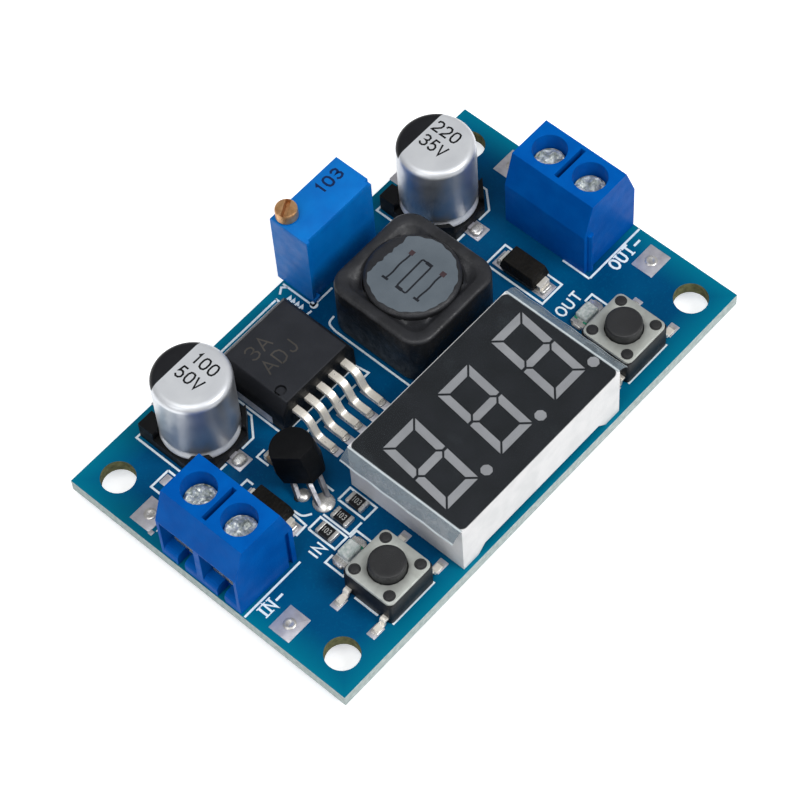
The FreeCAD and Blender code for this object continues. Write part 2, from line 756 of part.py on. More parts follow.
def make_regulator():
    def piece(label):
        return new_part(label, MOULD_X, MOULD_Y, TOP)

    mould = piece("regulator_mould")
    loft(mould, [("0", block("0", "0", "mould_length", "mould_depth")),
                 ("mould_waist", block("0", "0", "mould_length", "mould_depth")),
                 ("mould_height", block("0", "(mould_front_draft-mould_back_draft)/2",
                                        "mould_length-2*mould_side_draft",
                                        "mould_depth-mould_front_draft-mould_back_draft"))])
    cover_edge = "(mould_depth/2-tab_plate_cover)"
    take(mould, "XY", [rectangle("-mould_length/2", "mould_length/2", cover_edge, "mould_depth/2")],
         "0", "tab_plate_thickness")
    take(mould, "XY", [eight_sided("mould_dimple_inset-mould_length/2",
                                   "mould_dimple_inset-mould_depth/2", "mould_dimple_diameter")],
         "mould_height-mould_dimple_depth", "mould_height")

    plate = piece("regulator_tab")
    add(plate, "XY", [rectangle("-mould_length/2", "mould_length/2", cover_edge,
                                "mould_depth/2+tab_plate_overhang")], "0", "tab_plate_thickness")

    leads = piece("regulator_leads")
    root = "-mould_depth/2"
    shoulder = "(%s-lead_shoulder)" % root
    knee = "(%s-lead_bend)" % shoulder
    toe = "(%s-lead_foot)" % knee
    top = "(lead_exit_height+lead_thickness)"
    side = "0.6*lead_thickness"
    row_start = "-lead_pitch*(lead_count-1)/2"
    lead = add(leads, "YZ", [[(root, "lead_exit_height"), (root, top), (shoulder, top),
                              ("%s-%s" % (knee, side), "lead_thickness"), (toe, "lead_thickness"),
                              (toe, "0"), (knee, "0"),
                              ("%s+%s" % (shoulder, side), "lead_exit_height")]],
               row_start + "-lead_width/2", row_start + "+lead_width/2")
    repeat(leads, lead, "X", "lead_pitch", "lead_count")


# Voltage trimmer

def make_trimmer():
    def piece(label):
        return new_part(label, TRIMMER_X, TRIMMER_Y, TOP)

    inside_x = "(trimmer_length/2-trimmer_wall)"
    inside_y = "(trimmer_depth/2-trimmer_wall)"
    inside_top = "(trimmer_height-trimmer_roof)"
    screw_x = "(trimmer_screw_end_gap-trimmer_length/2)"
    screw_y = "(trimmer_depth/2-trimmer_screw_side_gap)"
    inside = rectangle("-" + inside_x, inside_x, "-" + inside_y, inside_y)

    housing = piece("trimmer_housing")
    add(housing, "XY", [block("0", "0", "trimmer_length", "trimmer_depth")], "0", "trimmer_height")
    take(housing, "XY", [inside], "0", inside_top)
    take(housing, "XY", [circle(screw_x, screw_y, "trimmer_stem_diameter+2*trimmer_stem_fit")],
         inside_top, "trimmer_height")
    take(housing, "XY", [rectangle("trimmer_length/2-trimmer_step_length",
                                   "trimmer_length/2", "-trimmer_depth/2", "trimmer_depth/2")],
         "trimmer_height-trimmer_step_depth", "trimmer_height")

    base = piece("trimmer_base")
    add(base, "XY", [inside], "0", "trimmer_base_thickness")
    pin_places = ["%d*trimmer_pin_pitch" % place for place in (-1, 0, 1)]
    outlines = [eight_sided(x, "0", "trimmer_pin_diameter") for x in pin_places]
    take(base, "XY", outlines, "0", "trimmer_base_thickness")

    pins = piece("trimmer_pins")
    add(pins, "XY", outlines, STUB_END, "trimmer_base_thickness")

    element = piece("trimmer_element")
    add(element, "XY", [rectangle("trimmer_element_gap-%s" % inside_x,
                                  "%s-trimmer_element_gap" % inside_x,
                                  "-" + inside_y, "trimmer_element_thickness-" + inside_y)],
        "trimmer_base_thickness", "%s-trimmer_element_gap" % inside_top)

    screw = new_part("trimmer_screw", TRIMMER_X + "+" + screw_x, TRIMMER_Y + "+" + screw_y, TOP)
    stem_low = "trimmer_base_thickness+trimmer_stem_tip_gap"
    head_low = "trimmer_height+trimmer_head_gap"
    head_top = "trimmer_height+trimmer_head_gap+trimmer_head_height"
    turn(screw, [("0", stem_low), ("trimmer_stem_diameter/2", stem_low),
                 ("trimmer_stem_diameter/2", head_low), ("trimmer_head_diameter/2", head_low),
                 ("trimmer_head_diameter/2", head_top), ("0", head_top)])
    take(screw, "XY", [block("0", "0", "trimmer_head_slot", "trimmer_head_diameter+1")],
         head_top + "-trimmer_head_slot_depth", head_top)

    carriage = piece("trimmer_carriage")
    low = "((trimmer_base_thickness+%s-trimmer_carriage_height)/2)" % inside_top
    start = "(trimmer_carriage_fit-%s)" % inside_x
    add(carriage, "XY", [rectangle(start, start + "+trimmer_carriage_length",
                                   "trimmer_element_thickness+trimmer_carriage_gap-" + inside_y,
                                   inside_y + "-trimmer_carriage_fit")],
        low, low + "+trimmer_carriage_height")
    take(carriage, "XY", [circle(screw_x, screw_y, "trimmer_stem_diameter+2*trimmer_stem_fit")],
         low, low + "+trimmer_carriage_height")


# Three digit display

def digit_outlines():
    """The seven segments of the left digit, leaning, and its point."""
    centre = "(digit_shift-digit_pitch)"
    tall = "digit_height/2"
    wide = "digit_width/2"
    bar = "segment_width"
    gap = "segment_gap/2"
    end = [("-%s+%s" % (wide, gap), tall), ("%s-%s" % (wide, gap), tall),
           ("%s-%s-%s" % (wide, bar, gap), "%s-%s" % (tall, bar)),
           ("-%s+%s+%s" % (wide, bar, gap), "%s-%s" % (tall, bar))]
    side = [(wide, "%s-%s" % (tall, gap)), ("%s-%s" % (wide, bar), "%s-%s-%s" % (tall, bar, gap)),
            ("%s-%s" % (wide, bar), "%s/2+%s" % (bar, gap)), ("%s-%s/2" % (wide, bar), gap),
            (wide, gap)]
    inner = "(%s-%s-%s)" % (wide, bar, gap)
    tip = "(%s-%s/2-%s)" % (wide, bar, gap)
    middle = [("-" + tip, "0"), ("-" + inner, bar + "/2"), (inner, bar + "/2"), (tip, "0"),
              (inner, "-%s/2" % bar), ("-" + inner, "-%s/2" % bar)]
    flat = [end, [(x, "-(%s)" % y) for x, y in end], middle]
    for across in ("", "-"):
        for up in ("", "-"):
            flat.append([("%s(%s)" % (across, x), "%s(%s)" % (up, y)) for x, y in side])
    leaning = [[("%s+(%s)+digit_slope*(%s)" % (centre, x, y), y) for x, y in outline]
               for outline in flat]
    point = eight_sided("%s+point_offset" % centre, "-" + tall, "point_diameter")
    return leaning + [point]


def make_display():
    def piece(label, height="0"):
        return new_part(label, DISPLAY_X, DISPLAY_Y, "%s+%s" % (TOP, height))

    shell = piece("display_shell")
    add(shell, "XY", [block("0", "0", "display_length", "display_width")], "0", "display_height")
    take(shell, "XY", [block("0", "0", "display_length-2*display_wall",
                             "display_width-2*display_wall")], "0", "display_recess")
    half = "display_notch_length/2"
    take(shell, "XZ", [[("-" + half, "0"), (half, "0"),
                        ("%s-display_notch_height" % half, "display_notch_height"),
                        ("display_notch_height-%s" % half, "display_notch_height")]],
         "-display_width/2", "display_wall-display_width/2")
    wells = take(shell, "XY", digit_outlines(), "display_recess", "display_height")
    repeat(shell, wells, "X", "digit_pitch", "3")

    segments = piece("display_segments")
    guides = add(segments, "XY", digit_outlines(), "display_recess", "display_height")
    repeat(segments, guides, "X", "digit_pitch", "3")

    board = piece("display_back_board")
    add(board, "XY", [block("0", "0", "display_length-2*display_wall-2*display_board_gap",
                            "display_width-2*display_wall-2*display_board_gap")],
        "display_recess-display_board_thickness", "display_recess")

    pins = piece("display_pins")
    low = "display_recess-display_board_thickness"
    for row in (-1, 1):
        place = ("-display_pin_pitch*(display_pin_columns-1)/2",
                 "%d*display_pin_rows_apart/2" % row)
        shaft = add(pins, "XY", [block(*place, "display_pin_side", "display_pin_side")],
                    STUB_END, low + "-display_pin_head")
        repeat(pins, shaft, "X", "display_pin_pitch", "display_pin_columns")
        head = add(pins, "XY", [block(*place, "2*display_pin_side", "2*display_pin_side")],
                   low + "-display_pin_head", low)
        repeat(pins, head, "X", "display_pin_pitch", "display_pin_columns")

    film = piece("display_film", "display_height")
    edge = "display_length/2"
    outer = "(%s+film_overhang)" % edge
    add(film, "XZ", [[("-" + outer, "-film_droop"), ("-" + edge, "0"), (edge, "0"),
                      (outer, "-film_droop"), (outer, "film_thickness-film_droop"),
                      (edge, "film_thickness"), ("-" + edge, "film_thickness"),
                      ("-" + outer, "film_thickness-film_droop")]],
        "film_inset-display_width/2", "display_width/2-film_inset")


# Push buttons

def make_switch(end):
    def piece(label):
        return new_part("%s_switch_%s" % (end, label), SWITCH_X[end], SWITCH_Y, TOP)

    base_top = "(switch_height-switch_cover_thickness)"
    posts = []
    for along in (-1, 1):
        for across in (-1, 1):
            posts.append(("%d*switch_post_spacing/2" % along, "%d*switch_post_spacing/2" % across))

    base = piece("base")
    add(base, "XY", [block("0", "0", "switch_side", "switch_side")], "0", base_top)
    take(base, "XY", [circle("0", "0", "switch_cavity_diameter")], "switch_floor", base_top)
    add(base, "XY", [eight_sided(x, y, "switch_post_diameter") for x, y in posts],
        base_top, "switch_height+switch_post_height")

    cover = piece("cover")
    side = "switch_side-2*switch_cover_inset"
    add(cover, "XY", [block("0", "0", side, side)], base_top, "switch_height")
    dress(cover, "Chamfer", "switch_cover_corner", upright)
    take(cover, "XY", [eight_sided(x, y, "switch_post_diameter") for x, y in posts],
         base_top, "switch_height")
    take(cover, "XY", [circle("0", "0", "button_diameter+2*button_fit")], base_top, "switch_height")

    button = piece("button")
    flange_top = "(%s-button_flange_gap)" % base_top
    flange_low = "(%s-button_flange_thickness)" % flange_top
    foot = "(switch_floor+dome_height+button_dome_gap)"
    turn(button, [("0", flange_low), ("button_flange_diameter/2", flange_low),
                  ("button_flange_diameter/2", flange_top), ("button_diameter/2", flange_top),
                  ("button_diameter/2", "switch_height+button_height"),
                  ("0", "switch_height+button_height")])
    add(button, "XY", [eight_sided("0", "0", "button_foot_diameter")], foot, flange_low)
    dress(button, "Chamfer", "button_bevel", top_rim)

    dome = piece("dome")
    low = "switch_floor"
    high = "(switch_floor+dome_height)"
    right = [("dome_length/2-2*dome_thickness", low), ("dome_length/2", low),
             ("dome_length/4", high), ("dome_length/4-dome_thickness/4", high + "-dome_thickness")]
    left = [("-(%s)" % x, y) for x, y in right]
    add(dome, "XZ", [right[:3] + left[2:0:-1] + [left[0], left[3], right[3]]],
        "-dome_width/2", "dome_width/2")

    leads = piece("leads")
    root = "switch_side/2"
    shoulder = "(%s+switch_lead_shoulder)" % root
    toe = "(%s+switch_lead_reach)" % root
    metal = "switch_lead_thickness"
    for along in ("", "-"):
        outline = [(root, "switch_lead_height"), (root, "switch_lead_height-" + metal),
                   ("%s-%s" % (shoulder, metal), "switch_lead_height-" + metal),
                   ("%s-%s" % (shoulder, metal), "0"), (toe, "0"), (toe, metal),
                   (shoulder, metal), (shoulder, "switch_lead_height")]
        for across in (-1, 1):
            middle = "%d*switch_lead_spacing/2" % across
            add(leads, "XZ", [[("%s(%s)" % (along, x), y) for x, y in outline]],
                middle + "-switch_lead_width/2", middle + "+switch_lead_width/2")


# Small linear regulator

def make_linear_regulator():
    body = new_part("linear_regulator_body", PACK_X, "pack_y", "%s+pack_lift" % TOP)
    body.Placement = FreeCAD.Placement(FreeCAD.Vector(0, 0, 0),
                                       FreeCAD.Rotation(FreeCAD.Vector(-1, -1, 0), 10.0))
    bind(body, "Placement.Rotation.Angle", "pack_lean")
    add(body, "XY", [circle("0", "0", "2*pack_radius")], "0", "pack_height")
    flat = take(body, "XY", [rectangle("pack_flat", "pack_radius+1", "-pack_radius", "pack_radius")],
                "0", "pack_height")
    bind(flat.Profile[0], "AttachmentOffset.Rotation.Angle", "pack_flat_direction")

    legs = new_part("linear_regulator_legs", "0", "0", TOP)
    for place, (x, y) in zip((0, 1, -1), pack_holes()):
        root_x = "%s+%d*pack_leg_pitch" % (PACK_X, place)
        root_y = "pack_y-%d*pack_leg_pitch" % place
        rise = "%d*pack_leg_pitch*sqrt(2)*tan(pack_lean*1 deg)" % place
        square = ("pack_leg_width", "pack_leg_width")
        loft(legs, [(STUB_END, block(x, y, *square)), ("pack_leg_bend_height", block(x, y, *square)),
                    ("pack_lift+%s-pack_leg_width*tan(pack_lean*1 deg)/2" % rise,
                     block(root_x, root_y, *square))])


# Diodes

def make_diode(end):
    def piece(label):
        return new_part("%s_diode_%s" % (end, label), DIODE_X[end], DIODE_Y[end], TOP)

    body = piece("body")
    inset = "-2*diode_draft"
    loft(body, [("diode_lift", block("0", "0", "diode_width" + inset, "diode_length" + inset)),
                ("diode_terminal_height", block("0", "0", "diode_width", "diode_length")),
                ("diode_height", block("0", "0", "diode_width" + inset, "diode_length" + inset))])

    terminals = piece("terminals")
    metal = "diode_terminal_thickness"
    root = "diode_length/2"
    toe = "(%s+diode_terminal_reach)" % root
    heel = "(%s-diode_terminal_foot)" % toe
    outline = [(root, "diode_terminal_height"), (toe, "diode_terminal_height"), (toe, "0"),
               (heel, "0"), (heel, metal), ("%s-%s" % (toe, metal), metal),
               ("%s-%s" % (toe, metal), "diode_terminal_height-" + metal),
               (root, "diode_terminal_height-" + metal)]
    for across in ("", "-"):
        add(terminals, "YZ", [[("%s(%s)" % (across, y), z) for y, z in outline]],
            "-diode_terminal_width/2", "diode_terminal_width/2")


# Chip parts and indicator lights

CHIP_X = DISPLAY_X
CHIP_Y = DISPLAY_Y


def under_places(way):
    """Chips in a row beside the microcontroller, on the underside."""
    for number in range(int(size("under_row_count"))):
        along = "(%d-(under_row_count-1)/2)*under_row_pitch" % number
        yield ("%s+%s" % (CHIP_Y, along),
               "%s+%d*(chip_body_length/2+under_row_gap+chip_length/2)" % (CHIP_X, way))


def make_chips():
    resistors = new_part("chip_resistors")
    for number in range(3):
        x = "%s-display_length/2-chip_row_gap-chip_width/2-%d*chip_row_pitch" % (DISPLAY_X, number)
        add(resistors, "XY", [block(x, CHIP_ROW_Y, "chip_width", "chip_length")],
            TOP, TOP + "+chip_height")
    for y, x in under_places(-1):
        add(resistors, "XY", [block(x, y, "chip_length", "chip_width")], "-chip_height", "0")

    capacitors = new_part("chip_capacitors")
    add(capacitors, "XY", [block(PACK_X + "-chip_capacitor_offset", "chip_capacitor_y",
                                 "chip_width", "chip_length")], TOP, TOP + "+chip_capacitor_height")
    for y, x in under_places(1):
        add(capacitors, "XY", [block(x, y, "chip_length", "chip_width")],
            "-chip_capacitor_height", "0")


def make_light(end):
    light = new_part(end + "_led", LIGHT_X[end], LIGHT_Y, TOP)
    add(light, "XY", [block("0", "0", "light_length", "light_width")], "0", "light_base_height")
    loft(light, [("light_base_height", block("0", "0", "light_lens_length", "light_width")),
                 ("light_height", block("0", "0", "light_lens_length-2*light_lens_draft",
                                        "light_width-2*light_lens_draft"))])


# Microcontroller on the underside

def make_microcontroller():
    body = new_part("microcontroller_body", CHIP_X, CHIP_Y)
    low = "-(chip_body_lift+chip_body_height)"
    add(body, "XY", [block("0", "0", "chip_body_length", "chip_body_width")], low, "-chip_body_lift")

    leads = new_part("microcontroller_leads", CHIP_X, CHIP_Y)
    root = "chip_body_width/2"
    toe = "(%s+chip_lead_reach)" % root
    heel = "(%s-chip_lead_foot)" % toe
    metal = "chip_lead_thickness"
    middle = "(chip_body_lift+chip_body_height/2)"
    outline = [(root, "-%s" % middle), (root, "%s-%s" % (metal, middle)),
               ("%s-%s" % (heel, metal), "%s-%s" % (metal, middle)), ("%s-%s" % (heel, metal), "0"),
               (toe, "0"), (toe, "-" + metal), (heel, "-" + metal), (heel, "-%s" % middle)]
    start = "-chip_lead_pitch*(chip_lead_count-1)/2"
    for across in ("", "-"):
        lead = add(leads, "YZ", [[("%s(%s)" % (across, y), z) for y, z in outline]],
                   start + "-chip_lead_width/2", start + "+chip_lead_width/2")
        repeat(leads, lead, "X", "chip_lead_pitch", "chip_lead_count")


make_board()
for end in ENDS:
    make_terminal_housing(end)
    make_terminal_contacts(end)
    for pole in POLES:
        make_pressure_plate(end, pole)
        make_terminal_screw(end, pole)
    make_capacitor(end)
    make_switch(end)
    make_diode(end)
    make_light(end)
make_inductor()
make_regulator()
make_trimmer()
make_display()
make_linear_regulator()
make_chips()
make_microcontroller()
doc.recompute()

# Each piece is checked before it is written

os.makedirs("parts", exist_ok=True)
for item in doc.Objects:
    if "Invalid" in item.State or "Error" in item.State:
        raise RuntimeError("%s did not build: %s" % (item.Name, item.State))
for body in parts:
    shape = body.Shape
    if shape.isNull() or not shape.isValid() or shape.Volume <= 0:
        raise RuntimeError("%s has no valid shape" % body.Label)
    shape.exportStep("parts/%s.step" % body.Label)
    print("%-34s %2d solids %9.2f mm3" % (body.Label, len(shape.Solids), shape.Volume))
print("%d pieces" % len(parts))
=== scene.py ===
import bpy
import math
import random
from mathutils import Matrix, Vector


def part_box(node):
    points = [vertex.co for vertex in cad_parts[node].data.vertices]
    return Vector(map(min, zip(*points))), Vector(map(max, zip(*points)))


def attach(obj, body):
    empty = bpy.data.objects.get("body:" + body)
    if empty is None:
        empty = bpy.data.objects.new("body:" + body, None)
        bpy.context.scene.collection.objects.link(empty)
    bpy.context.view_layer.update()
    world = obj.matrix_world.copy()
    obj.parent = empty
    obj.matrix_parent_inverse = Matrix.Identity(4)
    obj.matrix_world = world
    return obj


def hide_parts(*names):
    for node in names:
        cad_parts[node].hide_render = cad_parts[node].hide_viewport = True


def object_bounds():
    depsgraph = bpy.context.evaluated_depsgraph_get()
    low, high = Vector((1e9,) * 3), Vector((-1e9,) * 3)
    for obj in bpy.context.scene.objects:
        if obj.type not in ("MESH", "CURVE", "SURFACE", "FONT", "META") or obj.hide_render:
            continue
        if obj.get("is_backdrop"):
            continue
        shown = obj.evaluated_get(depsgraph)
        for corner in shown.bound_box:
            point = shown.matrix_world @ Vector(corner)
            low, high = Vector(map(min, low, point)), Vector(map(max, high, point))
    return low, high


# Buck converter module: the looks of the board and of every part on it. Lengths in the helpers
# are millimetres on the board: x from its input end, y from its display edge, z above its top.

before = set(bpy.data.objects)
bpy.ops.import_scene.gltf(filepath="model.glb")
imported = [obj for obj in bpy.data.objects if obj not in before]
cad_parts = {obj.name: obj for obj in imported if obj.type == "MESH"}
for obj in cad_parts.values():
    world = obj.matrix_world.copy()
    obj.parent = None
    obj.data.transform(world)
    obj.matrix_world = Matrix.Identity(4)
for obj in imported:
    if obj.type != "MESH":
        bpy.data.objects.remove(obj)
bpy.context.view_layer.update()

MM = 0.001
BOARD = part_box("pcb")
CORNER = Vector((BOARD[0][0], BOARD[0][1], BOARD[1][2]))
LENGTH = (BOARD[1][0] - BOARD[0][0]) / MM
WIDTH = (BOARD[1][1] - BOARD[0][1]) / MM
ENDS = ("input", "output")
POLES = ("negative", "positive")


def place(x, y, z):
    """A point on the board, in metres."""
    return CORNER + Vector((x, y, z)) * MM


class Span:
    """A CAD node's box in board millimetres: x0, y0, z0 to x1, y1, z1 and the middle x, y."""

    def __init__(self, node):
        low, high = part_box(node)
        self.x0, self.y0, self.z0 = (Vector(low) - CORNER) / MM
        self.x1, self.y1, self.z1 = (Vector(high) - CORNER) / MM
        self.x, self.y = (self.x0 + self.x1) / 2, (self.y0 + self.y1) / 2
        self.long, self.wide = self.x1 - self.x0, self.y1 - self.y0


# Materials

def colour(code):
    """A colour as written on screens, turned to linear light."""
    parts = [int(code[i:i + 2], 16) / 255 for i in (1, 3, 5)]
    return tuple(c / 12.92 if c <= 0.04045 else ((c + 0.055) / 1.055) ** 2.4 for c in parts) + (1.0,)


class Paint:
    """One node material: its tree, its shader and one call that adds a node between them."""

    def __init__(self, name, rough=0.5, metal=0.0, **sockets):
        self.material = bpy.data.materials.new(name)
        self.material.use_nodes = True
        self.tree = self.material.node_tree
        self.shader = self.tree.nodes["Principled BSDF"]
        self.set(Roughness=rough, Metallic=metal, **sockets)
        self.where = self.add("TexCoord", give="Object")

    def set(self, **sockets):
        for key, value in sockets.items():
            self.fill(self.shader.inputs[key.replace("_", " ")], value)

    def fill(self, socket, value):
        """A link, a colour code or a plain value into a socket."""
        if isinstance(value, bpy.types.NodeSocket):
            self.tree.links.new(value, socket)
        else:
            socket.default_value = colour(value) if isinstance(value, str) else value

    def add(self, kind, *inputs, give=0, **settings):
        """A new node's output. Inputs come in the order of its sockets, or as (socket, value)."""
        made = self.tree.nodes.new("ShaderNode" + kind)
        for key, value in settings.items():
            setattr(made, key, value)
        for number, value in enumerate(inputs):
            named = isinstance(value, tuple) and len(value) == 2
            socket, value = value if named else (number, value)
            self.fill(made.inputs[socket], value)
        return made.outputs[give]

    def noise(self, size, detail=3.0, stretch=(1, 1, 1), low=0.35, high=0.65):
        """Soft blotches of a size in mm: the share of the pattern from one level to another."""
        spot = self.add("Mapping", self.where, ("Scale", stretch))
        cloud = self.add("TexNoise", spot, ("Scale", 1 / (size * MM)), ("Detail", detail), give="Fac")
        return self.add("MapRange", cloud, low, high)

    def axis(self, letter, of="Position"):
        """One coordinate of the point, or of the surface's direction."""
        return self.add("SeparateXYZ", self.add("NewGeometry", give=of), give="XYZ".index(letter))

    def off(self, letter, middle):
        """The distance in metres from a middle line on the board, in mm along X or Y."""
        line = getattr(CORNER, letter.lower()) + middle * MM
        shift = self.add("Math", self.axis(letter), line, operation="SUBTRACT")
        return self.add("Math", shift, operation="ABSOLUTE")

    def climb(self, letter, low, high, to_low=0.0, to_high=1.0):
        """A rise between two places on the board, in mm along X, Y or Z."""
        start = getattr(CORNER, letter.lower())
        low, high = start + low * MM, start + high * MM
        return self.add("MapRange", self.axis(letter), low, high, to_low, to_high)

    def bump(self, *layers):
        """Relief: each layer is a grey value and its depth in mm."""
        under = []
        for value, depth in layers:
            relief = [("Height", value), ("Distance", depth * MM), ("Strength", 1.0)]
            normal = self.add("Bump", *relief, *under)
            under = [("Normal", normal)]
        self.set(Normal=normal)
        return self


def moulded(name, base, shade, rough=0.5, grain=0.12, depth=0.004, gloss=0.2, shaded_side=None):
    """Moulded plastic: a fine spark eroded grain, faint flow clouds and some handling shine.

    A real grain is about 0.02 mm. It is drawn coarser, so that it shows. The darker colour for
    upright faces, if given, is painted shade: they are drawn darker than the tops, as less light falls on
    them."""
    flow, handled = 2.5, 1.2         # sizes of the clouds and of the worn spots, in mm
    paint = Paint(name, Specular_IOR_Level=gloss)
    fine = paint.noise(grain, 4.0)
    tone = paint.add("MixRGB", paint.noise(flow), base, shade)
    if shaded_side:
        # painted shade: upright faces fade to the darker side colour, tops keep the lit tone
        lit_top_share = paint.add("MapRange", paint.axis("Z", "Normal"), 0.1, 0.9)
        tone = paint.add("MixRGB", lit_top_share, shaded_side, tone)
    paint.set(Base_Color=tone,
              Roughness=paint.add("MapRange", paint.noise(handled), 0, 1, rough - 0.06, rough + 0.08))
    return paint.bump((fine, depth)).material


def metal(name, bright, dull, rough=0.3, grain=0.3, depth=0.004, bare=1.0, patches=0.8):
    """Metal, bright with duller patches and a fine grain, drawn coarser than it is so that it shows.

    bare is the share that shows as clean metal, and the rest is haze."""
    paint = Paint(name, metal=bare)
    patch = paint.noise(patches, 5.0)
    fine = paint.noise(grain, 4.0)
    uneven = paint.add("Math", patch, fine, operation="ADD")
    paint.set(Base_Color=paint.add("MixRGB", patch, bright, dull),
              Roughness=paint.add("MapRange", uneven, 0, 2, rough - 0.1, rough + 0.12))
    return paint.bump((fine, depth)).material


def solder_mask():
    """Cured solder mask on glass laminate: deep blue, with painted light at the rim: a greener glow where
    light gets in at the edge.
    """
    paint = Paint("solder_mask_and_laminate", Specular_IOR_Level=0.05)
    rim, pale_edge, layer = 3.5 * MM, 0.4 * MM, 0.349 * MM
    to_end = paint.add("Math", LENGTH / 2 * MM, paint.off("X", LENGTH / 2), operation="SUBTRACT")
    to_side = paint.add("Math", WIDTH / 2 * MM, paint.off("Y", WIDTH / 2), operation="SUBTRACT")
    edge = paint.add("Math", to_end, to_side, operation="MINIMUM")
    mask = paint.add("MixRGB", paint.noise(6.0), "#00436f", "#004f7c")
    # painted light: a teal glow over the last 3.5 mm towards the board's edge
    mask = paint.add("MixRGB", paint.add("MapRange", edge, 0.0, rim, 1.0, 0.0), mask, "#00718d")
    flecks = paint.add("MapRange", paint.noise(0.25, 2.0), 0.8, 1.0, 0.0, 0.2)
    mask = paint.add("MixRGB", flecks, mask, "#00628c")
    # The cut edge shows pale resin with a band of glass layers, the hole walls older yellow resin
    layers = paint.add("TexWave", paint.where, ("Scale", math.pi / 10 / layer), ("Distortion", 1.5),
                       give="Fac", bands_direction="Z")
    glass = paint.add("MixRGB", paint.noise(0.5), "#ccd6d4", "#aebbb9")
    glass = paint.add("MixRGB", paint.add("MapRange", layers, 0.2, 0.8, 0.0, 0.5), glass, "#93a3a2")
    hole = paint.add("MixRGB", paint.noise(0.6), "#7f7f5a", "#5d6045")
    cut = paint.add("MixRGB", paint.add("MapRange", edge, pale_edge, pale_edge + 0.1 * MM), glass, hole)
    upright = paint.add("Math", paint.axis("Z", "Normal"), operation="ABSOLUTE")
    flat = paint.add("MapRange", upright, 0.4, 0.6)
    paint.set(Base_Color=paint.add("MixRGB", flat, cut, mask),
              Roughness=paint.add("MapRange", flat, 0, 1, 0.7, 0.3))
    weave = paint.add("TexVoronoi", paint.where, ("Scale", 1 / (0.6 * MM)), give="Distance")
    return paint.bump((paint.noise(0.9), 0.006), (weave, 0.004)).material


MASK = solder_mask()


# Meshes

ROUND_STEPS = (0.3, 0.6, 0.9, 1.2, 1.5)        # turns in radians round a soft edge


def smooth(mesh, angle):
    """Shading that runs smoothly over all edges but those sharper than an angle."""
    mesh.polygons.foreach_set("use_smooth", [True] * len(mesh.polygons))
    mesh.set_sharp_from_angle(angle=math.radians(angle))


def piece(name, parts, body="board", replaces=(), angle=32):
    """A piece on a body from (points in board mm, faces, material) parts."""
    mesh = bpy.data.meshes.new(name)
    points, faces, marks, materials = [], [], [], []
    for part_points, part_faces, material in parts:
        if material not in materials:
            materials.append(material)
        start = len(points)
        points += [place(*point) for point in part_points]
        faces += [[start + corner for corner in face] for face in part_faces]
        marks += [materials.index(material)] * len(part_faces)
    mesh.from_pydata(points, [], faces)
    for material in materials:
        mesh.materials.append(material)
    mesh.polygons.foreach_set("material_index", marks)
    mesh.validate()
    made = bpy.data.objects.new(name, mesh)
    bpy.context.scene.collection.objects.link(made)
    smooth(mesh, angle)
    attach(made, body)
    if replaces:
        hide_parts(*replaces)
    return made


def soften(thing, width, segments):
    """Rounded edges of a width in mm."""
    made = thing.modifiers.new("rounded edges", "BEVEL")
    made.width, made.segments, made.limit_method = width * MM, segments, "ANGLE"
    made.angle_limit = math.radians(30)
    made.harden_normals = True


def dress(node, material, bevel=None, segments=2):
    """A CAD node's material, with its edges rounded."""
    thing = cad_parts[node]
    thing.data.materials.clear()
    thing.data.materials.append(material)
    if bevel:
        weld = thing.modifiers.new("joined corners", "WELD")
        weld.merge_threshold = 0.002 * MM
        soften(thing, bevel, segments)


def skin(rings, material, closed=False):
    """Faces between rings of equal count, capped at both ends or closed on themselves."""
    count = len(rings[0])
    points = [point for ring in rings for point in ring]
    faces = []
    for number in range(len(rings) - (0 if closed else 1)):
        this, other = number * count, (number + 1) % len(rings) * count
        for k in range(count):
            faces.append([this + k, this + (k + 1) % count, other + (k + 1) % count, other + k])
    if not closed:
        faces.append(list(range(count))[::-1])
        faces.append([len(points) - count + k for k in range(count)])
    return points, faces, material


def ring(outline, z):
    """An outline at a height."""
    return [(x, y, z) for x, y in outline]


def round_outline(x, y, radius, steps):
    """A circle about x, y."""
    return [(x + radius * math.cos(2 * math.pi * k / steps),
             y + radius * math.sin(2 * math.pi * k / steps)) for k in range(steps)]


def finer(outline, pieces):
    """An outline with each of its sides cut in equal pieces."""
    return [tuple(Vector(here).lerp(Vector(after), k / pieces))
            for here, after in zip(outline, outline[1:] + outline[:1]) for k in range(pieces)]


def corner_outline(x, y, length, width, radius, steps=6):
    """A rectangle with round corners about x, y."""
    radius = max(radius, 0.001)
    points = []
    for number, (along, across) in enumerate(((1, 1), (-1, 1), (-1, -1), (1, -1))):
        for k in range(steps + 1):
            angle = math.pi / 2 * (number + k / steps)
            points.append((x + along * (length / 2 - radius) + radius * math.cos(angle),
                           y + across * (width / 2 - radius) + radius * math.sin(angle)))
    return points


def turned(x, y, profile, material, steps=48):
    """A round part from radius and height points."""
    return skin([ring(round_outline(x, y, radius, steps), z) for radius, z in profile], material)


def soft_block(x, y, length, width, low, high, corner, edge, material, steps=4, foot=False):
    """A block with round upright corners and a rounded top edge, and a rounded foot if asked."""
    def at(inset, z):
        return ring(corner_outline(x, y, length - 2 * inset, width - 2 * inset,
                                   max(corner - inset, edge * 0.3)), z)
    rings = []
    turns = [math.pi / 2 * k / steps for k in range(steps + 1)]
    if foot:
        rings += [at(edge * (1 - math.sin(a)), low + edge * (1 - math.cos(a))) for a in turns]
    else:
        rings.append(at(0, low))
    rings += [at(edge * (1 - math.cos(a)), high - edge * (1 - math.sin(a))) for a in turns]
    return skin(rings, material)


def tilted(part, centre, angle, axis):
    """A part turned about an axis through a point."""
    points, faces, material = part
    spin = Matrix.Rotation(math.radians(angle), 3, Vector(axis))
    middle = Vector(centre)
    return [tuple(spin @ (Vector(p) - middle) + middle) for p in points], faces, material


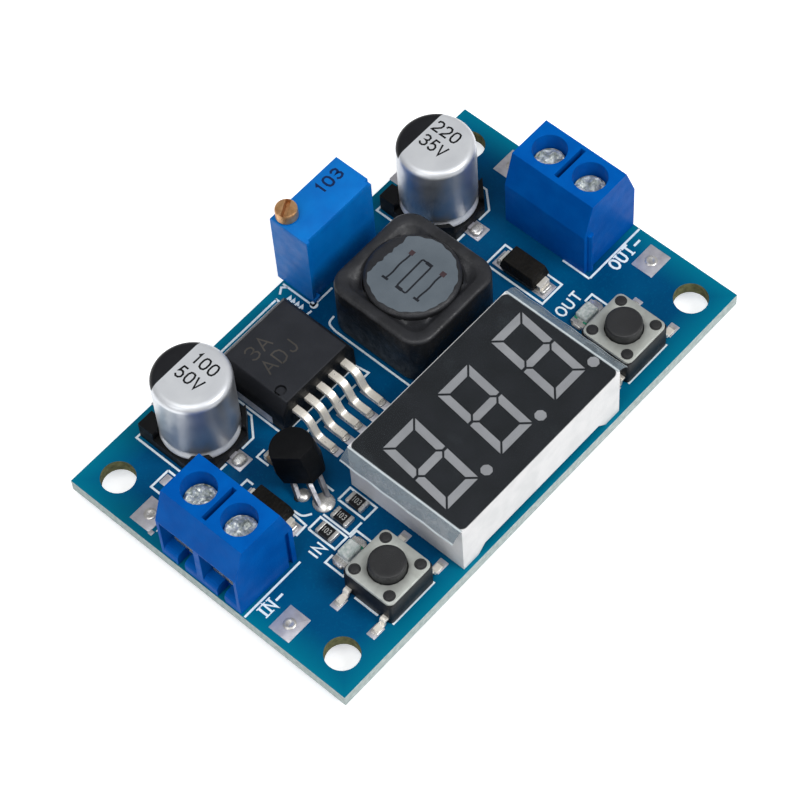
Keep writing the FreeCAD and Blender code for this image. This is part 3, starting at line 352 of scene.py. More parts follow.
def rounded_path(corners, radius, steps=5):
    """A path through 2D corners with round bends."""
    path = [corners[0]]
    for before, corner, after in zip(corners, corners[1:], corners[2:]):
        here = Vector(corner)
        back, on = (Vector(before) - here), (Vector(after) - here)
        reach = min(radius, back.length * 0.48, on.length * 0.48)
        start, end = here + back.normalized() * reach, here + on.normalized() * reach
        for k in range(steps + 1):
            t = k / steps
            path.append(tuple(start * (1 - t) ** 2 + here * 2 * t * (1 - t) + end * t ** 2))
    return path + [corners[-1]]


def ribbon(path, width, thickness, put, material, edge=0.06):
    """A flat bent strip: path in a plane, put turns (along, up, across) into a point on the board."""
    rings = []
    count = len(path)
    for k, (u, v) in enumerate(path):
        before, after = Vector(path[max(k - 1, 0)]), Vector(path[min(k + 1, count - 1)])
        ahead = (after - before).normalized()
        up = Vector((-ahead.y, ahead.x))
        half, slim = width / 2, thickness / 2
        cut = min(edge, slim * 0.8)
        section = [(half, slim - cut), (half - cut, slim), (cut - half, slim), (-half, slim - cut),
                   (-half, cut - slim), (cut - half, -slim), (half - cut, -slim), (half, cut - slim)]
        rings.append([put(u + up.x * h, v + up.y * h, w) for w, h in section])
    return skin(rings, material)


def stroke(points, width, low, high, material):
    """A flat printed line through points, with mitred corners."""
    count = len(points)
    rings = []
    for k in range(count):
        here = Vector(points[k])
        back = here - Vector(points[k - 1]) if k else None
        on = Vector(points[k + 1]) - here if k < count - 1 else None
        one, two = (back or on).normalized(), (on or back).normalized()
        side = Vector((-one.y - two.y, one.x + two.x)).normalized()
        side *= width / 2 / max(0.4, side.dot(Vector((-one.y, one.x))))
        left, right = here + side, here - side
        rings.append([(*left, low), (*right, low), (*right, high), (*left, high)])
    return skin(rings, material)


# Printed letters are drawn with strokes on a unit square, the way a plotter font is
GLYPHS = {
    "0": [[(0.5, 1), (0.2, 0.93), (0.05, 0.7), (0.05, 0.3), (0.2, 0.07), (0.5, 0), (0.8, 0.07),
           (0.95, 0.3), (0.95, 0.7), (0.8, 0.93), (0.5, 1)]],
    "1": [[(0.22, 0.8), (0.55, 1), (0.55, 0)]],
    "2": [[(0.06, 0.75), (0.15, 0.93), (0.45, 1), (0.75, 0.95), (0.92, 0.75), (0.85, 0.52),
           (0.5, 0.3), (0.15, 0.12), (0.04, 0.0), (0.95, 0)]],
    "3": [[(0.08, 0.85), (0.3, 0.99), (0.6, 1), (0.87, 0.88), (0.88, 0.66), (0.7, 0.54),
           (0.4, 0.52), (0.72, 0.5), (0.94, 0.34), (0.9, 0.12), (0.62, 0), (0.3, 0.01), (0.05, 0.17)]],
    "5": [[(0.88, 1), (0.25, 1), (0.14, 0.53), (0.35, 0.62), (0.65, 0.6), (0.9, 0.42), (0.9, 0.18),
           (0.65, 0.01), (0.3, 0.0), (0.06, 0.15)]],
    "A": [[(0, 0), (0.5, 1), (1, 0)], [(0.2, 0.36), (0.8, 0.36)]],
    "D": [[(0.08, 0), (0.08, 1), (0.5, 1), (0.85, 0.85), (0.95, 0.5), (0.85, 0.15), (0.5, 0),
           (0.08, 0)]],
    "I": [[(0.5, 0), (0.5, 1)]],
    "J": [[(0.75, 1), (0.75, 0.25), (0.6, 0.04), (0.35, 0), (0.12, 0.1), (0.08, 0.3)]],
    "N": [[(0.06, 0), (0.06, 1), (0.94, 0), (0.94, 1)]],
    "O": [[(0.5, 1), (0.2, 0.9), (0.02, 0.65), (0.02, 0.35), (0.2, 0.1), (0.5, 0), (0.8, 0.1),
           (0.98, 0.35), (0.98, 0.65), (0.8, 0.9), (0.5, 1)]],
    "T": [[(0.5, 0), (0.5, 1)], [(0, 1), (1, 1)]],
    "U": [[(0.06, 1), (0.06, 0.3), (0.2, 0.06), (0.5, 0), (0.8, 0.06), (0.94, 0.3), (0.94, 1)]],
    "V": [[(0, 1), (0.5, 0), (1, 1)]],
    "-": [[(0.05, 0.45), (0.95, 0.45)]],
    "+": [[(0.05, 0.45), (0.95, 0.45)], [(0.5, 0.0), (0.5, 0.9)]],
}
# Serifs of the bold pad names: short bars across the stroke ends
SERIFS = {"I": [(0.5, 0), (0.5, 1)], "N": [(0.06, 0), (0.06, 1), (0.94, 1)],
          "T": [(0.5, 0)], "U": [(0.06, 1), (0.94, 1)], "O": [], "-": [], "+": []}


def lettering(text, corner, along, high, wide, line, low, thick, material, gap=0.3, serif=0.0):
    """Stroke letters from a lower left corner: along is the writing's direction on the board."""
    ahead = Vector(along).normalized()
    up = Vector((-ahead.y, ahead.x))
    start = Vector(corner)
    parts = []

    def on(x, y):
        return tuple(start + ahead * x + up * y)

    for letter in text:
        width = wide * {"I": 0.6 if serif else 0.35, "1": 0.75, "-": 1.3}.get(letter, 1.0)
        for number, points in enumerate(GLYPHS[letter]):
            parts.append(stroke([on(x * width, y * high) for x, y in points], line,
                                low, low + thick + number * 0.001, material))
        if serif:
            for x, y in SERIFS[letter]:
                parts.append(stroke([on(x * width - serif, y * high), on(x * width + serif, y * high)],
                                    line * 0.55, low, low + thick + 0.002, material))
        start = start + ahead * (width + gap)
    return parts


# Board: printed legend and bare pads

def legend_ink():
    """Screen printed epoxy ink: a flat cool white, faintly uneven as the screen left it."""
    paint = Paint("screen_printed_legend_ink", rough=0.55)
    paint.set(Base_Color=paint.add("MixRGB", paint.noise(0.3), "#f2f9fd", "#dcebf4"))
    return paint.bump((paint.noise(0.08), 0.003)).material


LEGEND = legend_ink()
# Tin levelled by hot air: pale grey, softly shining and a little lumpy
TIN = metal("hot_air_levelled_tin", "#d3d2d8", "#bbbac2", rough=0.42, grain=0.5, depth=0.006, bare=0.6)
# Solder that set from the melt: bright and smooth, with duller frosted patches
SOLDER = metal("reflowed_solder", "#e3e1dd", "#b0aeab", rough=0.3, grain=0.4, depth=0.01, bare=0.65)

INK = 0.22                           # width of a printed line
INK_LOW, INK_HIGH = 0.004, 0.028     # a print stands a little proud of the mask
PAD_LOW, PAD_HIGH = 0.002, 0.04
CHIP_ROW, CHIP_ROW_Y = (15.75, 13.65, 11.55), 12.65    # middles of the three chip resistors
CHIP_CAPACITOR = (14.2, 21.7)
SMALL_PACK = (14.3, 18.1)            # middle of the small regulator
LEAD_COUNT, LEAD_PITCH = 5, 1.7      # leads of the switching regulator

dress("pcb", MASK, bevel=0.04)


def both(tail):
    """The boxes of a node that each end has."""
    return {end: Span(end + tail) for end in ENDS}


can, can_base, can_tabs = both("_capacitor_can"), both("_capacitor_base"), both("_capacitor_tabs")
switch, switch_cover, switch_leads = both("_switch_base"), both("_switch_cover"), both("_switch_leads")
diode, diode_ends = both("_diode_body"), both("_diode_terminals")
block, light = both("_terminal_housing"), both("_led")
mould, mould_tab, leads = Span("regulator_mould"), Span("regulator_tab"), Span("regulator_leads")
shield, drum = Span("inductor_shield"), Span("inductor_drum")
trimmer, display, film = Span("trimmer_housing"), Span("display_shell"), Span("display_film")

# Printed strokes that follow no node, each by its points on the board
LOOSE_LINES = {
    "before the small regulator": [(9.46, 14.74), (10.89, 14.79), (11.01, 16.56)],
    "behind the small regulator": [(9.9, 21.6), (9.9, 22.4), (10.9, 22.4), (10.9, 21.6)],
    "beside its leg": [(15.3, 17.0), (15.3, 15.3)],
    "hook over the worn strokes": [(28.3, 34.3), (29.0, 34.75), (29.4, 34.3)],
    "corner under the worn strokes": [(28.1, 31.3), (28.1, 30.7), (28.9, 30.6)],
    "first rule": [(17.7, 23.1), (26.9, 23.1)],
    "second rule": [(17.7, 21.6), (25.4, 21.6)],
    "end of the rules": [(26.9, 23.5), (27.2, 21.55), (26.3, 21.55)],
    "corner of the chip capacitor": [(13.35, 21.9), (13.35, 23.4), (14.4, 23.4)],
    "box by the input pad": [(6.8, 28.85), (4.46, 28.85), (4.46, 27.75), (6.8, 27.75), (6.8, 28.85)],
}


def end_lines(end, way):
    """Lines beside a terminal block, round a capacitor's base and at a push button."""
    housing, base, body, middle = block[end], can_base[end], switch[end], can[end].x
    beside = housing.y0 - 0.4
    inner, outer = (housing.x1, 0.0) if way > 0 else (housing.x0, LENGTH)
    left, right, low, high = base.x0 - 0.4, base.x1 + 0.2, base.y0 - 0.15, base.y1 + 0.15
    near, far = middle - 1.1, middle + 1.1         # the gap that is left for a tab
    cut = 1.9                                      # the base's cut corner
    over, left_of = body.y0 - 0.02, body.x0 - 0.1
    return [[(outer + way * 0.1, beside), (inner, beside)],
            [(near - 0.2, high), (left, high), (left, low + cut), (left + cut, low), (near, low)],
            [(far, low), (right - 1.7, low), (right, low + 1.85), (right, low + 3.6)],
            [(body.x0 + 0.1, over), (body.x1 - 0.1, over)],
            [(left_of, body.y0 + 1.65), (left_of, body.y1 - 1.45)]]


def part_lines():
    """Lines round the output diode, the regulator, the inductor, the trimmer and the chips."""
    housing, out = block["output"], diode["output"]
    upright = housing.x0 - 0.1
    left, right, low, high = out.x0 - 0.15, out.x1 + 0.2, out.y0 - 1.4, out.y1 + 1.6
    lines = [[(upright, housing.y0 - 0.4), (upright, housing.y0 + 3.0)],
             [(left, high), (left, low), (right, low), (right, high), (left, high)]]
    left, right, high = mould.x0 - 0.22, mould.x1 + 0.55, mould_tab.y1 + 0.95
    lines += [[(left, mould.y0 - 4.9), (left, high), (right, high)],
              [(right, high + 0.1), (right, high - 0.75)]]
    left = shield.x0 - 0.3
    lines.append(rounded_path([(29.85, 28.5), (28.9, 28.4), (left, 27.4), (left, 15.2)], 0.9))
    left, low = trimmer.x0 - 0.33, 30.88
    lines.append([(left, 34.9), (left, low), (32.2, low)])
    lines.append(rounded_path([(11.28, 16.74), (11.35, 15.7), (12.16, 15.19)], 0.6))
    for start in (33.4, 32.9, 32.35, 31.8):        # small worn strokes
        lines.append([(28.1, start), (28.75, start - 0.1), (28.45, start - 0.35)])
    low, high, half = 11.0, 14.35, 0.84            # printed a hair off the chips, the middle one open
    for x, is_open in ((15.75, False), (13.66, True), (11.6, False)):
        box = [(x - half, high), (x - half, low), (x + half, low), (x + half, high), (x - half, high)]
        lines.append(box[:3] if is_open else box)
    return lines


def light_lines():
    """Corner marks round the two indicator lights."""
    one, two = light["input"], light["output"]
    left, right, low, high = one.x0 - 0.55, one.x1 + 0.65, 8.5, 10.75
    lines = [[(right, 8.9), (right, 10.8), (one.x1 - 0.3, 10.8)],
             [(one.x0 + 0.5, high), (left, high), (left, low), (one.x0 - 0.1, low)]]
    right, high = two.x1 + 0.66, 10.86
    return lines + [[(two.x1 - 0.4, high), (right, high), (right, 8.92)]]


def legend():
    """Outlines and names printed on the board, as the photograph shows them."""
    lines = end_lines("input", 1) + end_lines("output", -1) + part_lines() + light_lines()
    lines += LOOSE_LINES.values()
    parts = [stroke(line, INK, INK_LOW, INK_HIGH, LEGEND) for line in lines]
    dot_x, dot_y, dot = 29.56, 30.9, 0.43          # the dot at the trimmer's first pin
    parts.append(turned(dot_x, dot_y, [(dot, INK_LOW), (dot, INK_HIGH)], LEGEND, 20))
    flat = dict(low=INK_LOW, thick=INK_HIGH - INK_LOW, material=LEGEND, gap=0.3)
    bold = dict(high=1.2, wide=0.78, line=0.24, serif=0.27, **flat)
    thin = dict(high=1.15, wide=0.82, line=0.2, **flat)
    for text, corner, style in (("IN-", (1.35, 11.0), bold), ("OUT-", (51.7, 10.8), bold),
                                ("IN+", (1.35, 23.9), bold), ("OUT+", (51.7, 23.9), bold),
                                ("IN", (8.9, 11.6), thin), ("OUT", (44.1, 11.3), thin)):
        parts += lettering(text, corner, (1, 0), **style)
    return piece("printed_legend", parts)


legend()


def pads():
    """Tinned pads under the leads, and the four wire pads with their filled holes."""
    parts = []

    def pad(x, y, length, width):
        parts.append(soft_block(x, y, length, width, PAD_LOW, PAD_HIGH, 0.05, 0.02, TIN, 2))

    wire_x, wire_rows = 2.3, (8.93, 26.85)         # the wire pads, from the board's end and its edge
    filled = [(0.66, -0.01), (0.6, 0.05), (0.48, 0.1), (0.34, 0.09), (0.2, 0.04), (0.1, 0.03)]
    for x in (wire_x, LENGTH - wire_x):
        for y in wire_rows:
            pad(x, y, 3.05, 2.55)
            profile = [(radius, PAD_HIGH + rise) for radius, rise in filled]
            parts.append(turned(x, y, profile, SOLDER, 32))
    for end in ENDS:
        tips, tabs, ends = switch_leads[end], can_tabs[end], diode_ends[end]
        for x in (tips.x0 + 0.05, tips.x1 - 0.05):
            for y in (tips.y0 + 0.35, tips.y1 - 0.35):
                pad(x, y, 1.5, 1.0)
        for y in (tabs.y0 - 0.05, tabs.y1 + 0.05):
            pad(tabs.x, y, 1.85, 1.9)
        for y in (ends.y0 + 0.1, ends.y1 - 0.1):
            pad(ends.x, y, 1.95, 1.6)
    for k in range(LEAD_COUNT):
        pad(leads.x0 + 0.45 + LEAD_PITCH * k, leads.y0 + 0.65, 0.95, 3.3)
    pad(mould_tab.x, mould_tab.y1 - 0.6, 10.6, 2.0)
    for spot in ((5.9, 28.3, 1.2, 0.7), (0.9, 25.4, 0.5, 0.5)):    # two bare spots by the input
        pad(*spot)
    return piece("tinned_pads", parts)


pads()


# Terminal blocks

# Moulded nylon: deep even blue, barely shining, with a fine grain
BLUE = moulded("terminal_block_nylon", "#005cb4", "#0053a9", rough=0.42, grain=0.18, depth=0.005,
               gloss=0.03)
# Zinc plated steel: bright and cold, with grey blotches where the plating is thin
ZINC = metal("zinc_plated_steel", "#f6faf5", "#a9b1aa", rough=0.15, grain=0.3, depth=0.06, bare=0.45,
             patches=0.5)
# Tinned brass: a warm pale grey
BRASS_TIN = metal("tinned_brass", "#d9d5c8", "#aaa596", rough=0.3)


def screw_head(end, pole):
    """A cheese head with a slot and a short cross slot, burred by the driver, on its thread."""
    node = "%s_screw_%s" % (end, pole)
    span = Span(node)
    radius, top = span.long / 2, span.z1 + 1.3     # the head stands that far over the shank
    half_slot, slot_depth, slot_wall, half_cross = 0.30, 0.34, 0.07, 1.05
    crown, rim_drop, rim_share, burr = 0.10, 0.16, 0.12, 0.045
    seed = random.Random(end + pole)
    waves = [(seed.uniform(3, 7.5), seed.uniform(0, math.pi * 2), seed.uniform(0, math.pi * 2))
             for _ in range(6)]

    def height(x, y):
        across = max(abs(x) - half_slot, 0.0)
        short = max(abs(y) - half_slot, abs(x) - half_cross, 0.0)
        depth = slot_depth * max(0.0, 1 - min(across, short) / slot_wall)
        reach = math.hypot(x, y) / radius
        fall = -crown * reach ** 2 - rim_drop * max(0.0, reach - (1 - rim_share)) / rim_share
        dents = sum(math.sin(f * (x * math.cos(d) + y * math.sin(d)) + p) for f, d, p in waves)
        return top - depth + fall + burr * dents - 0.05

    rings = [ring(round_outline(span.x, span.y, radius, 72), z) for z in (span.z1 - 1.2, top - 0.25)]
    steps = 22
    for k in range(steps, 0, -1):
        rings.append([(x, y, height(x - span.x, y - span.y))
                      for x, y in round_outline(span.x, span.y, radius * k / steps * 0.995, 72)])
    core, crest, half_pitch = 1.02, 1.25, 0.225
    start, end_z = span.z0 + 0.3, span.z1 - 1.5
    shank = [(0.9, span.z0), (1.2, start)]
    for k in range(int((end_z - start) / half_pitch)):
        shank.append((crest if k % 2 else core, start + half_pitch * (k + 1)))
    shank.append((1.2, span.z1 - 1.15))
    return piece(node + "_detail", [skin(rings, ZINC), turned(span.x, span.y, shank, ZINC, 36)],
                 body=node, replaces=[node], angle=40)


for end in ENDS:
    dress(end + "_terminal_housing", BLUE, bevel=0.09, segments=3)
    dress(end + "_terminal_contacts", BRASS_TIN, bevel=0.05)
    for pole in POLES:
        dress("%s_pressure_plate_%s" % (end, pole), BRASS_TIN, bevel=0.05)
        screw_head(end, pole)


# Electrolytic capacitors

CAN_TOP = can["input"].z1
SECTOR = 1.8                         # from a can's middle to the edge of its black sector
# Moulded phenolic base: plain black, without shine
CAN_BLACK = moulded("capacitor_base_resin", "#101113", "#0b0c0e", rough=0.5)
# Pad printed ink: flat black with a sharp edge
CAN_INK = moulded("black_can_print", "#17181b", "#121316", rough=0.5, depth=0.002)


def can_paint():
    """Drawn aluminium under clear lacquer, evenly satin, its sector printed black over the rim.

    The top and the bead are drawn less metallic, so that they look pale and not mirror dark."""
    paint = Paint("lacquered_aluminium_can")
    edge, bead = can["input"].y + SECTOR, can["input"].z0 + 1.0
    inked = paint.add("Math", paint.climb("Y", edge, edge + 0.04),
                       paint.climb("Z", CAN_TOP - 0.55, CAN_TOP - 0.5), operation="MULTIPLY")
    bare = paint.add("MixRGB", paint.noise(3.0), "#dfe2e6", "#d6d9de")
    ink = paint.add("MixRGB", paint.noise(1.5), "#17181b", "#1d1e22")
    top = paint.add("MapRange", paint.axis("Z", "Normal"), 0.3, 0.9, 0.95, 0.4)
    foot = paint.climb("Z", bead, bead + 0.4, 0.35, 0.95)
    metallic = paint.add("Math", paint.add("MapRange", inked, 0, 1, 1.0, 0.0),
                          paint.add("Math", top, foot, operation="MINIMUM"), operation="MULTIPLY")
    paint.set(Base_Color=paint.add("MixRGB", inked, bare, ink), Metallic=metallic,
              Specular_IOR_Level=0.25,
              Roughness=paint.add("MapRange", paint.noise(1.6), 0, 1, 0.36, 0.44))
    return paint.bump((paint.noise(0.4, 3.0), 0.001)).material


ALUMINIUM = can_paint()


def capacitor(end, words, start):
    """A drawn can with a rolled bead above its base, a rounded rim and two printed lines."""
    span = can[end]
    radius, top, rounding = span.long / 2, span.z1, 0.8
    bead = [(0.5, 0.0), (0.2, 0.02), (0.10, 0.05), (0.02, 0.14), (0.0, 0.26), (0.05, 0.42),
            (0.15, 0.58), (0.26, 0.74), (0.29, 0.88), (0.22, 1.04), (0.1, 1.22), (0.04, 1.42)]
    profile = [(radius - inset, span.z0 + rise) for inset, rise in bead]
    steps = 10
    for k in range(steps + 1):
        angle = math.pi / 2 * k / steps
        profile.append((radius - 0.04 - rounding * (1 - math.cos(angle)),
                        top - rounding * (1 - math.sin(angle))))
    profile.append((radius - 1.6, top + 0.0005))
    piece(end + "_can_shell", [turned(span.x, span.y, profile, ALUMINIUM, 96)],
          replaces=[end + "_capacitor_can"], angle=50)
    first, apart, parts = span.x + 1.08, 2.03, []
    for number, (word, shift) in enumerate(zip(words, start)):
        parts += lettering(word, (first - apart * number, span.y + shift), (0, -1), 1.27, 0.8, 0.2,
                           top - 0.003, 0.009, CAN_INK, gap=0.26)
    piece(end + "_can_print", parts)


capacitor("input", ("100", "50V"), (1.0, 1.28))
capacitor("output", ("220", "35V"), (1.46, 1.44))
for end in ENDS:
    dress(end + "_capacitor_base", CAN_BLACK, bevel=0.12, segments=3)
    dress(end + "_capacitor_tabs", TIN, bevel=0.03)


# Shielded inductor

def ferrite():
    """Pressed ferrite dipped in resin: dark grey, softly shining, lumpy where the resin ran. Its upright
    faces are painted near black as shade.
    """
    paint = Paint("dipped_ferrite_shield", Specular_IOR_Level=0.4)
    top = paint.add("MixRGB", paint.noise(2.0, 4.0), "#292a2e", "#1e1f22")
    # painted shade: faces that turn away from upward fade to near black
    upward = paint.add("MapRange", paint.axis("Z", "Normal"), 0.1, 0.7)
    paint.set(Base_Color=paint.add("MixRGB", upward, "#0e0f11", top),
              Roughness=paint.add("MapRange", paint.noise(0.9), 0, 1, 0.38, 0.56))
    return paint.bump((paint.noise(1.8), 0.04), (paint.noise(0.15, 4.0), 0.006)).material


FERRITE = ferrite()
# Rolled and stamped inks on the core: a matt grey ground, near black strokes, brown ends
GREY_INK = moulded("grey_core_print", "#636c74", "#5b646c", rough=0.55, grain=0.2, depth=0.006)
MARK_INK = moulded("dark_value_mark", "#23262c", "#1d2026", rough=0.5)
DOT_INK = moulded("brown_value_dots", "#4a3a3e", "#403236", rough=0.5)
# Enamelled copper wire: warm brown metal under a clear varnish
COPPER = metal("enamelled_copper", "#a35a2c", "#7c3f1d", rough=0.3, grain=0.4)


def shield_skin():
    """The square shield's outline, its soft rim, and the bore with resin sunk at four corners."""
    x, y, side, top, low = shield.x, shield.y, shield.long, shield.z1, shield.z0
    corner, steps, rounding = 2.3, 12, 0.42
    turns = [math.atan2(b, a) for a, b in corner_outline(0, 0, side, side, corner, steps)]
    noise = random.Random(7)
    lump = [noise.uniform(-1, 1) for _ in range(5)]

    def wave(angle):
        return sum(lump[k] * math.cos((k + 2) * angle + k) for k in range(5)) / 3

    def outer(inset, z, rough=0.0):
        points = corner_outline(x, y, side - 2 * inset, side - 2 * inset, max(corner - inset, 0.5), steps)
        return [(a, b, z + rough * wave(t)) for (a, b), t in zip(points, turns)]

    def corner_share(t):
        """How near a direction is to a corner of the square, from 0 to 1 with a soft fall."""
        near, reach = abs((math.degrees(t) % 90) - 45), 19
        return max(0.0, 1 - (near / reach) ** 2) ** 1.5

    def bore(radius, z, pocket=0.0, sunk=0.0, rough=0.0):
        """A ring round the bore, pushed out and down where the resin sank at the corners."""
        made = []
        for t in turns:
            reach = radius + pocket * corner_share(t) + 0.05 * wave(t)
            made.append((x + reach * math.cos(t), y + reach * math.sin(t),
                         z + rough * wave(t) - sunk * corner_share(t)))
        return made

    rings = [outer(0.15, low), outer(0.0, low + 0.15), outer(0.0, top - 0.52)]
    rings += [outer(rounding * (1 - math.cos(a)), top - rounding * (1 - math.sin(a)) - 0.06, 0.05)
              for a in ROUND_STEPS]
    rings += [bore(5.42, top - 0.07, 0.95, 0.02, 0.05), bore(5.3, top - 0.1, 0.75, 0.22, 0.04),
              bore(5.18, top - 0.16, 0.45, 0.5, 0.03), bore(5.0, top - 0.26, 0.15, 0.5, 0.02),
              bore(4.86, top - 0.3), bore(4.86, top - 1.5), bore(5.1, top - 1.55), bore(5.1, low)]
    return skin(rings, FERRITE, closed=True)


def drum_skin():
    """The drum: two flanges on a thin core, the upper one with a rounded edge."""
    rim, core, low, high = drum.long / 2, 2.3, drum.z0, drum.z1
    profile = [(rim - 0.15, low), (rim, low + 0.15), (rim, low + 1.4), (core, low + 1.45),
               (core, high - 1.4), (rim, high - 1.35), (rim, high - 0.4), (rim - 0.08, high - 0.2),
               (rim - 0.3, high - 0.06), (rim - 0.6, high - 0.01)]
    return turned(shield.x, shield.y, profile, FERRITE, 72)


def core_ground():
    """The grey print on the core. Where the roller missed, it ends in a ragged straight line."""
    printed, missed, bare_side, steps, patch = 4.35, 3.3, math.radians(87), 144, []
    for k in range(steps):
        t = 2 * math.pi * k / steps
        reach = printed + 0.05 * math.sin(11 * t) + 0.04 * math.sin(23 * t + 1)
        toward = math.cos(t - bare_side)
        if toward > 0.3:
            reach = min(reach, (missed + 0.07 * math.sin(17 * t) + 0.05 * math.sin(31 * t)) / toward)
        patch.append((shield.x + reach * math.cos(t), shield.y + reach * math.sin(t)))
    return skin([ring(patch, drum.z1 - 0.012), ring(patch, drum.z1 + 0.004)], GREY_INK)


def value_mark(x, y, low, thick):
    """The value 101 in thin strokes with heavy ends, read from the input side."""
    line, heavy, high, parts = 0.19, 0.36, 3.75, []
    half, half_round, one_at = high / 2 + 0.1, 0.62, 1.95

    def on(across, up):
        return (x + up + 0.04 * math.sin(9 * across), y - across - 0.05 * math.sin(2.6 * up + across))

    def add(points, width=line, paint=MARK_INK, lift=0.0):
        parts.append(stroke([on(*p) for p in points], width, low, low + thick + lift, paint))

    for centre in (-one_at, one_at):
        add([(centre, high * (k / 8 - 0.5)) for k in range(9)])
        add([(centre - 0.42, -high / 2), (centre + 0.3, -high / 2)], 0.26, lift=0.001)
        add([(centre - 0.27, high / 2 + 0.05), (centre + 0.27, high / 2 + 0.05)], 0.55, DOT_INK, 0.002)
    add(rounded_path([(-half_round, 0.75 - half), (-half_round, half), (0.0, half)], 0.6))
    add(rounded_path([(half_round, half - 0.75), (half_round, -half), (0.0, -half)], 0.6))
    add([(-half_round, 0.8 - half), (-half_round, 0.25 - half), (-0.45, -half)], lift=0.001)
    add([(half_round, half - 0.8), (half_round, half - 0.2)], lift=0.001)
    add([(-0.1, half), (0.66, half - 0.05)], heavy, lift=0.002)
    add([(-0.66, 0.05 - half), (0.1, -half)], heavy, lift=0.002)
    return parts


def inductor():
    """The shield round its drum, with the value printed on the drum's top."""
    mark = value_mark(shield.x - 0.1, shield.y - 0.3, drum.z1 + 0.002, 0.012)
    piece("shield_dipped", [shield_skin()], replaces=["inductor_shield"], angle=60)
    piece("core_drum", [drum_skin()], replaces=["inductor_drum"], angle=60)
    piece("core_print", [core_ground()] + mark)
    dress("inductor_winding", COPPER)
    dress("inductor_terminals", TIN, bevel=0.03)


inductor()


# Switching regulator

# Transfer moulded epoxy: dark grey and matt, its upright sides painted near black as shade
MOULD = moulded("transfer_moulded_epoxy", "#2b2d32", "#26282d", rough=0.55, grain=0.1, depth=0.006,
                gloss=0.2, shaded_side="#08090b")
# Epoxy burnt by the laser: dull brown grey
LASER = moulded("laser_marked_epoxy", "#4a4744", "#403e3b", rough=0.6, depth=0.002)
# Tin plated copper: nearly white, satin
LEAD = metal("tin_plated_copper_lead", "#fffaf0", "#efe9dd", rough=0.34, grain=0.5, depth=0.002,
             bare=0.5)


def mould_block():
    """The epoxy block: upright to its waist, then drafted, with the ejector pin's sunk mark."""
    waist, under, cover = 2.9, 1.3, 7.6            # waist, and the overhang's height and depth
    side, front, back = 0.85, 0.1, 0.95            # how far each face leans in up to the top
    low, top = mould.z0, mould.z1

    def at(z, share=0.0, inset=0.0):
        x0, x1 = mould.x0 + side * share + inset, mould.x1 - side * share - inset
        y0, y1 = mould.y0 + front * share + inset, mould.y1 - back * share - inset
        return ring(finer(corner_outline((x0 + x1) / 2, (y0 + y1) / 2, x1 - x0, y1 - y0, 0.15, 2), 24), z)

    pin_x, pin_y = mould.x0 + 1.5, mould.y0 + 1.5
    rim = at(top, 1.0, 0.12)
    turns = [math.atan2(y - pin_y, x - pin_x) for x, y, _ in rim]

    def sunk(radius, z):
        return [(pin_x + radius * math.cos(t), pin_y + radius * math.sin(t), z) for t in turns]

    rings = [at(low + under), at(low + waist - 0.05), at(low + waist + 0.03, 0.02),
             at(top - 0.14, 0.93), at(top - 0.05, 0.98, 0.03), rim, at(top, 1.0, 0.2),
             sunk(0.64, top), sunk(0.58, top), sunk(0.55, top - 0.05), sunk(0.52, top - 0.3)]
    lip = mould.y1 - cover
    corners = [(mould.x0, mould.y0), (mould.x1, mould.y0), (mould.x1, lip), (mould.x0, lip)]
    skirt = [(x - 0.01 * (1 if x > mould.x else -1), y + 0.01) for x, y in corners]
    return [skin(rings, MOULD), skin([ring(skirt, low), ring(skirt, low + under + 0.05)], MOULD)]


def regulator():
    """The block on its heat tab, with five leads bent down in an even S to flat feet."""
    piece("regulator_block", mould_block(), replaces=["regulator_mould"])
    dress("regulator_tab", TIN, bevel=0.05)
    thick, wide, root, parts = 0.5, 0.8, leads.y1 + 0.25, []
    high, foot = 2.3 + thick / 2, thick / 2 + 0.02
    path = rounded_path([(0, high), (1.95, high), (2.95, foot), (root - leads.y0 + 0.1, foot)], 1.0, 9)
    for k in range(LEAD_COUNT):
        middle = leads.x0 + wide / 2 + LEAD_PITCH * k

        def put(u, v, w, middle=middle):
            return (middle + w, root - u, v)
        parts.append(ribbon(path, wide, thick, put, LEAD))
        parts.append(soft_block(middle, leads.y0 - 0.2, 0.95, 0.7, 0.03, 0.2, 0.3, 0.15, SOLDER))
    piece("regulator_gull_leads", parts, replaces=["regulator_leads"])
    left, parts = mould.x - 2.9, []
    for text, y in (("3A", mould.y + 1.0), ("ADJ", mould.y - 1.2)):
        parts += lettering(text, (left, y), (1, 0), 1.5, 1.15, 0.17, mould.z1 - 0.003, 0.005, LASER,
                           gap=0.4)
    piece("regulator_marks", parts)


regulator()


# Voltage trimmer

# Moulded thermoplastic: a lively blue, matt from its fine grain
TRIMMER = moulded("trimmer_thermoplastic", "#0075cc", "#006bc2", rough=0.45, grain=0.15, depth=0.006)
# Turned brass: a pale worn gold with fine turning marks
BRASS = metal("turned_brass", "#dcae7e", "#b98a5c", rough=0.4, grain=0.12, depth=0.012, bare=0.8)
# Pad printed ink: navy, flat
NAVY_INK = moulded("navy_trimmer_print", "#0c2a5c", "#0a2350", rough=0.5)
# Potting resin: dull dark blue
POTTING = moulded("trimmer_potting", "#1f3d66", "#1a3457", rough=0.5)
# Fired alumina: an ivory white without shine
ALUMINA = moulded("alumina_element", "#d9d6cd", "#c9c5ba", rough=0.6)


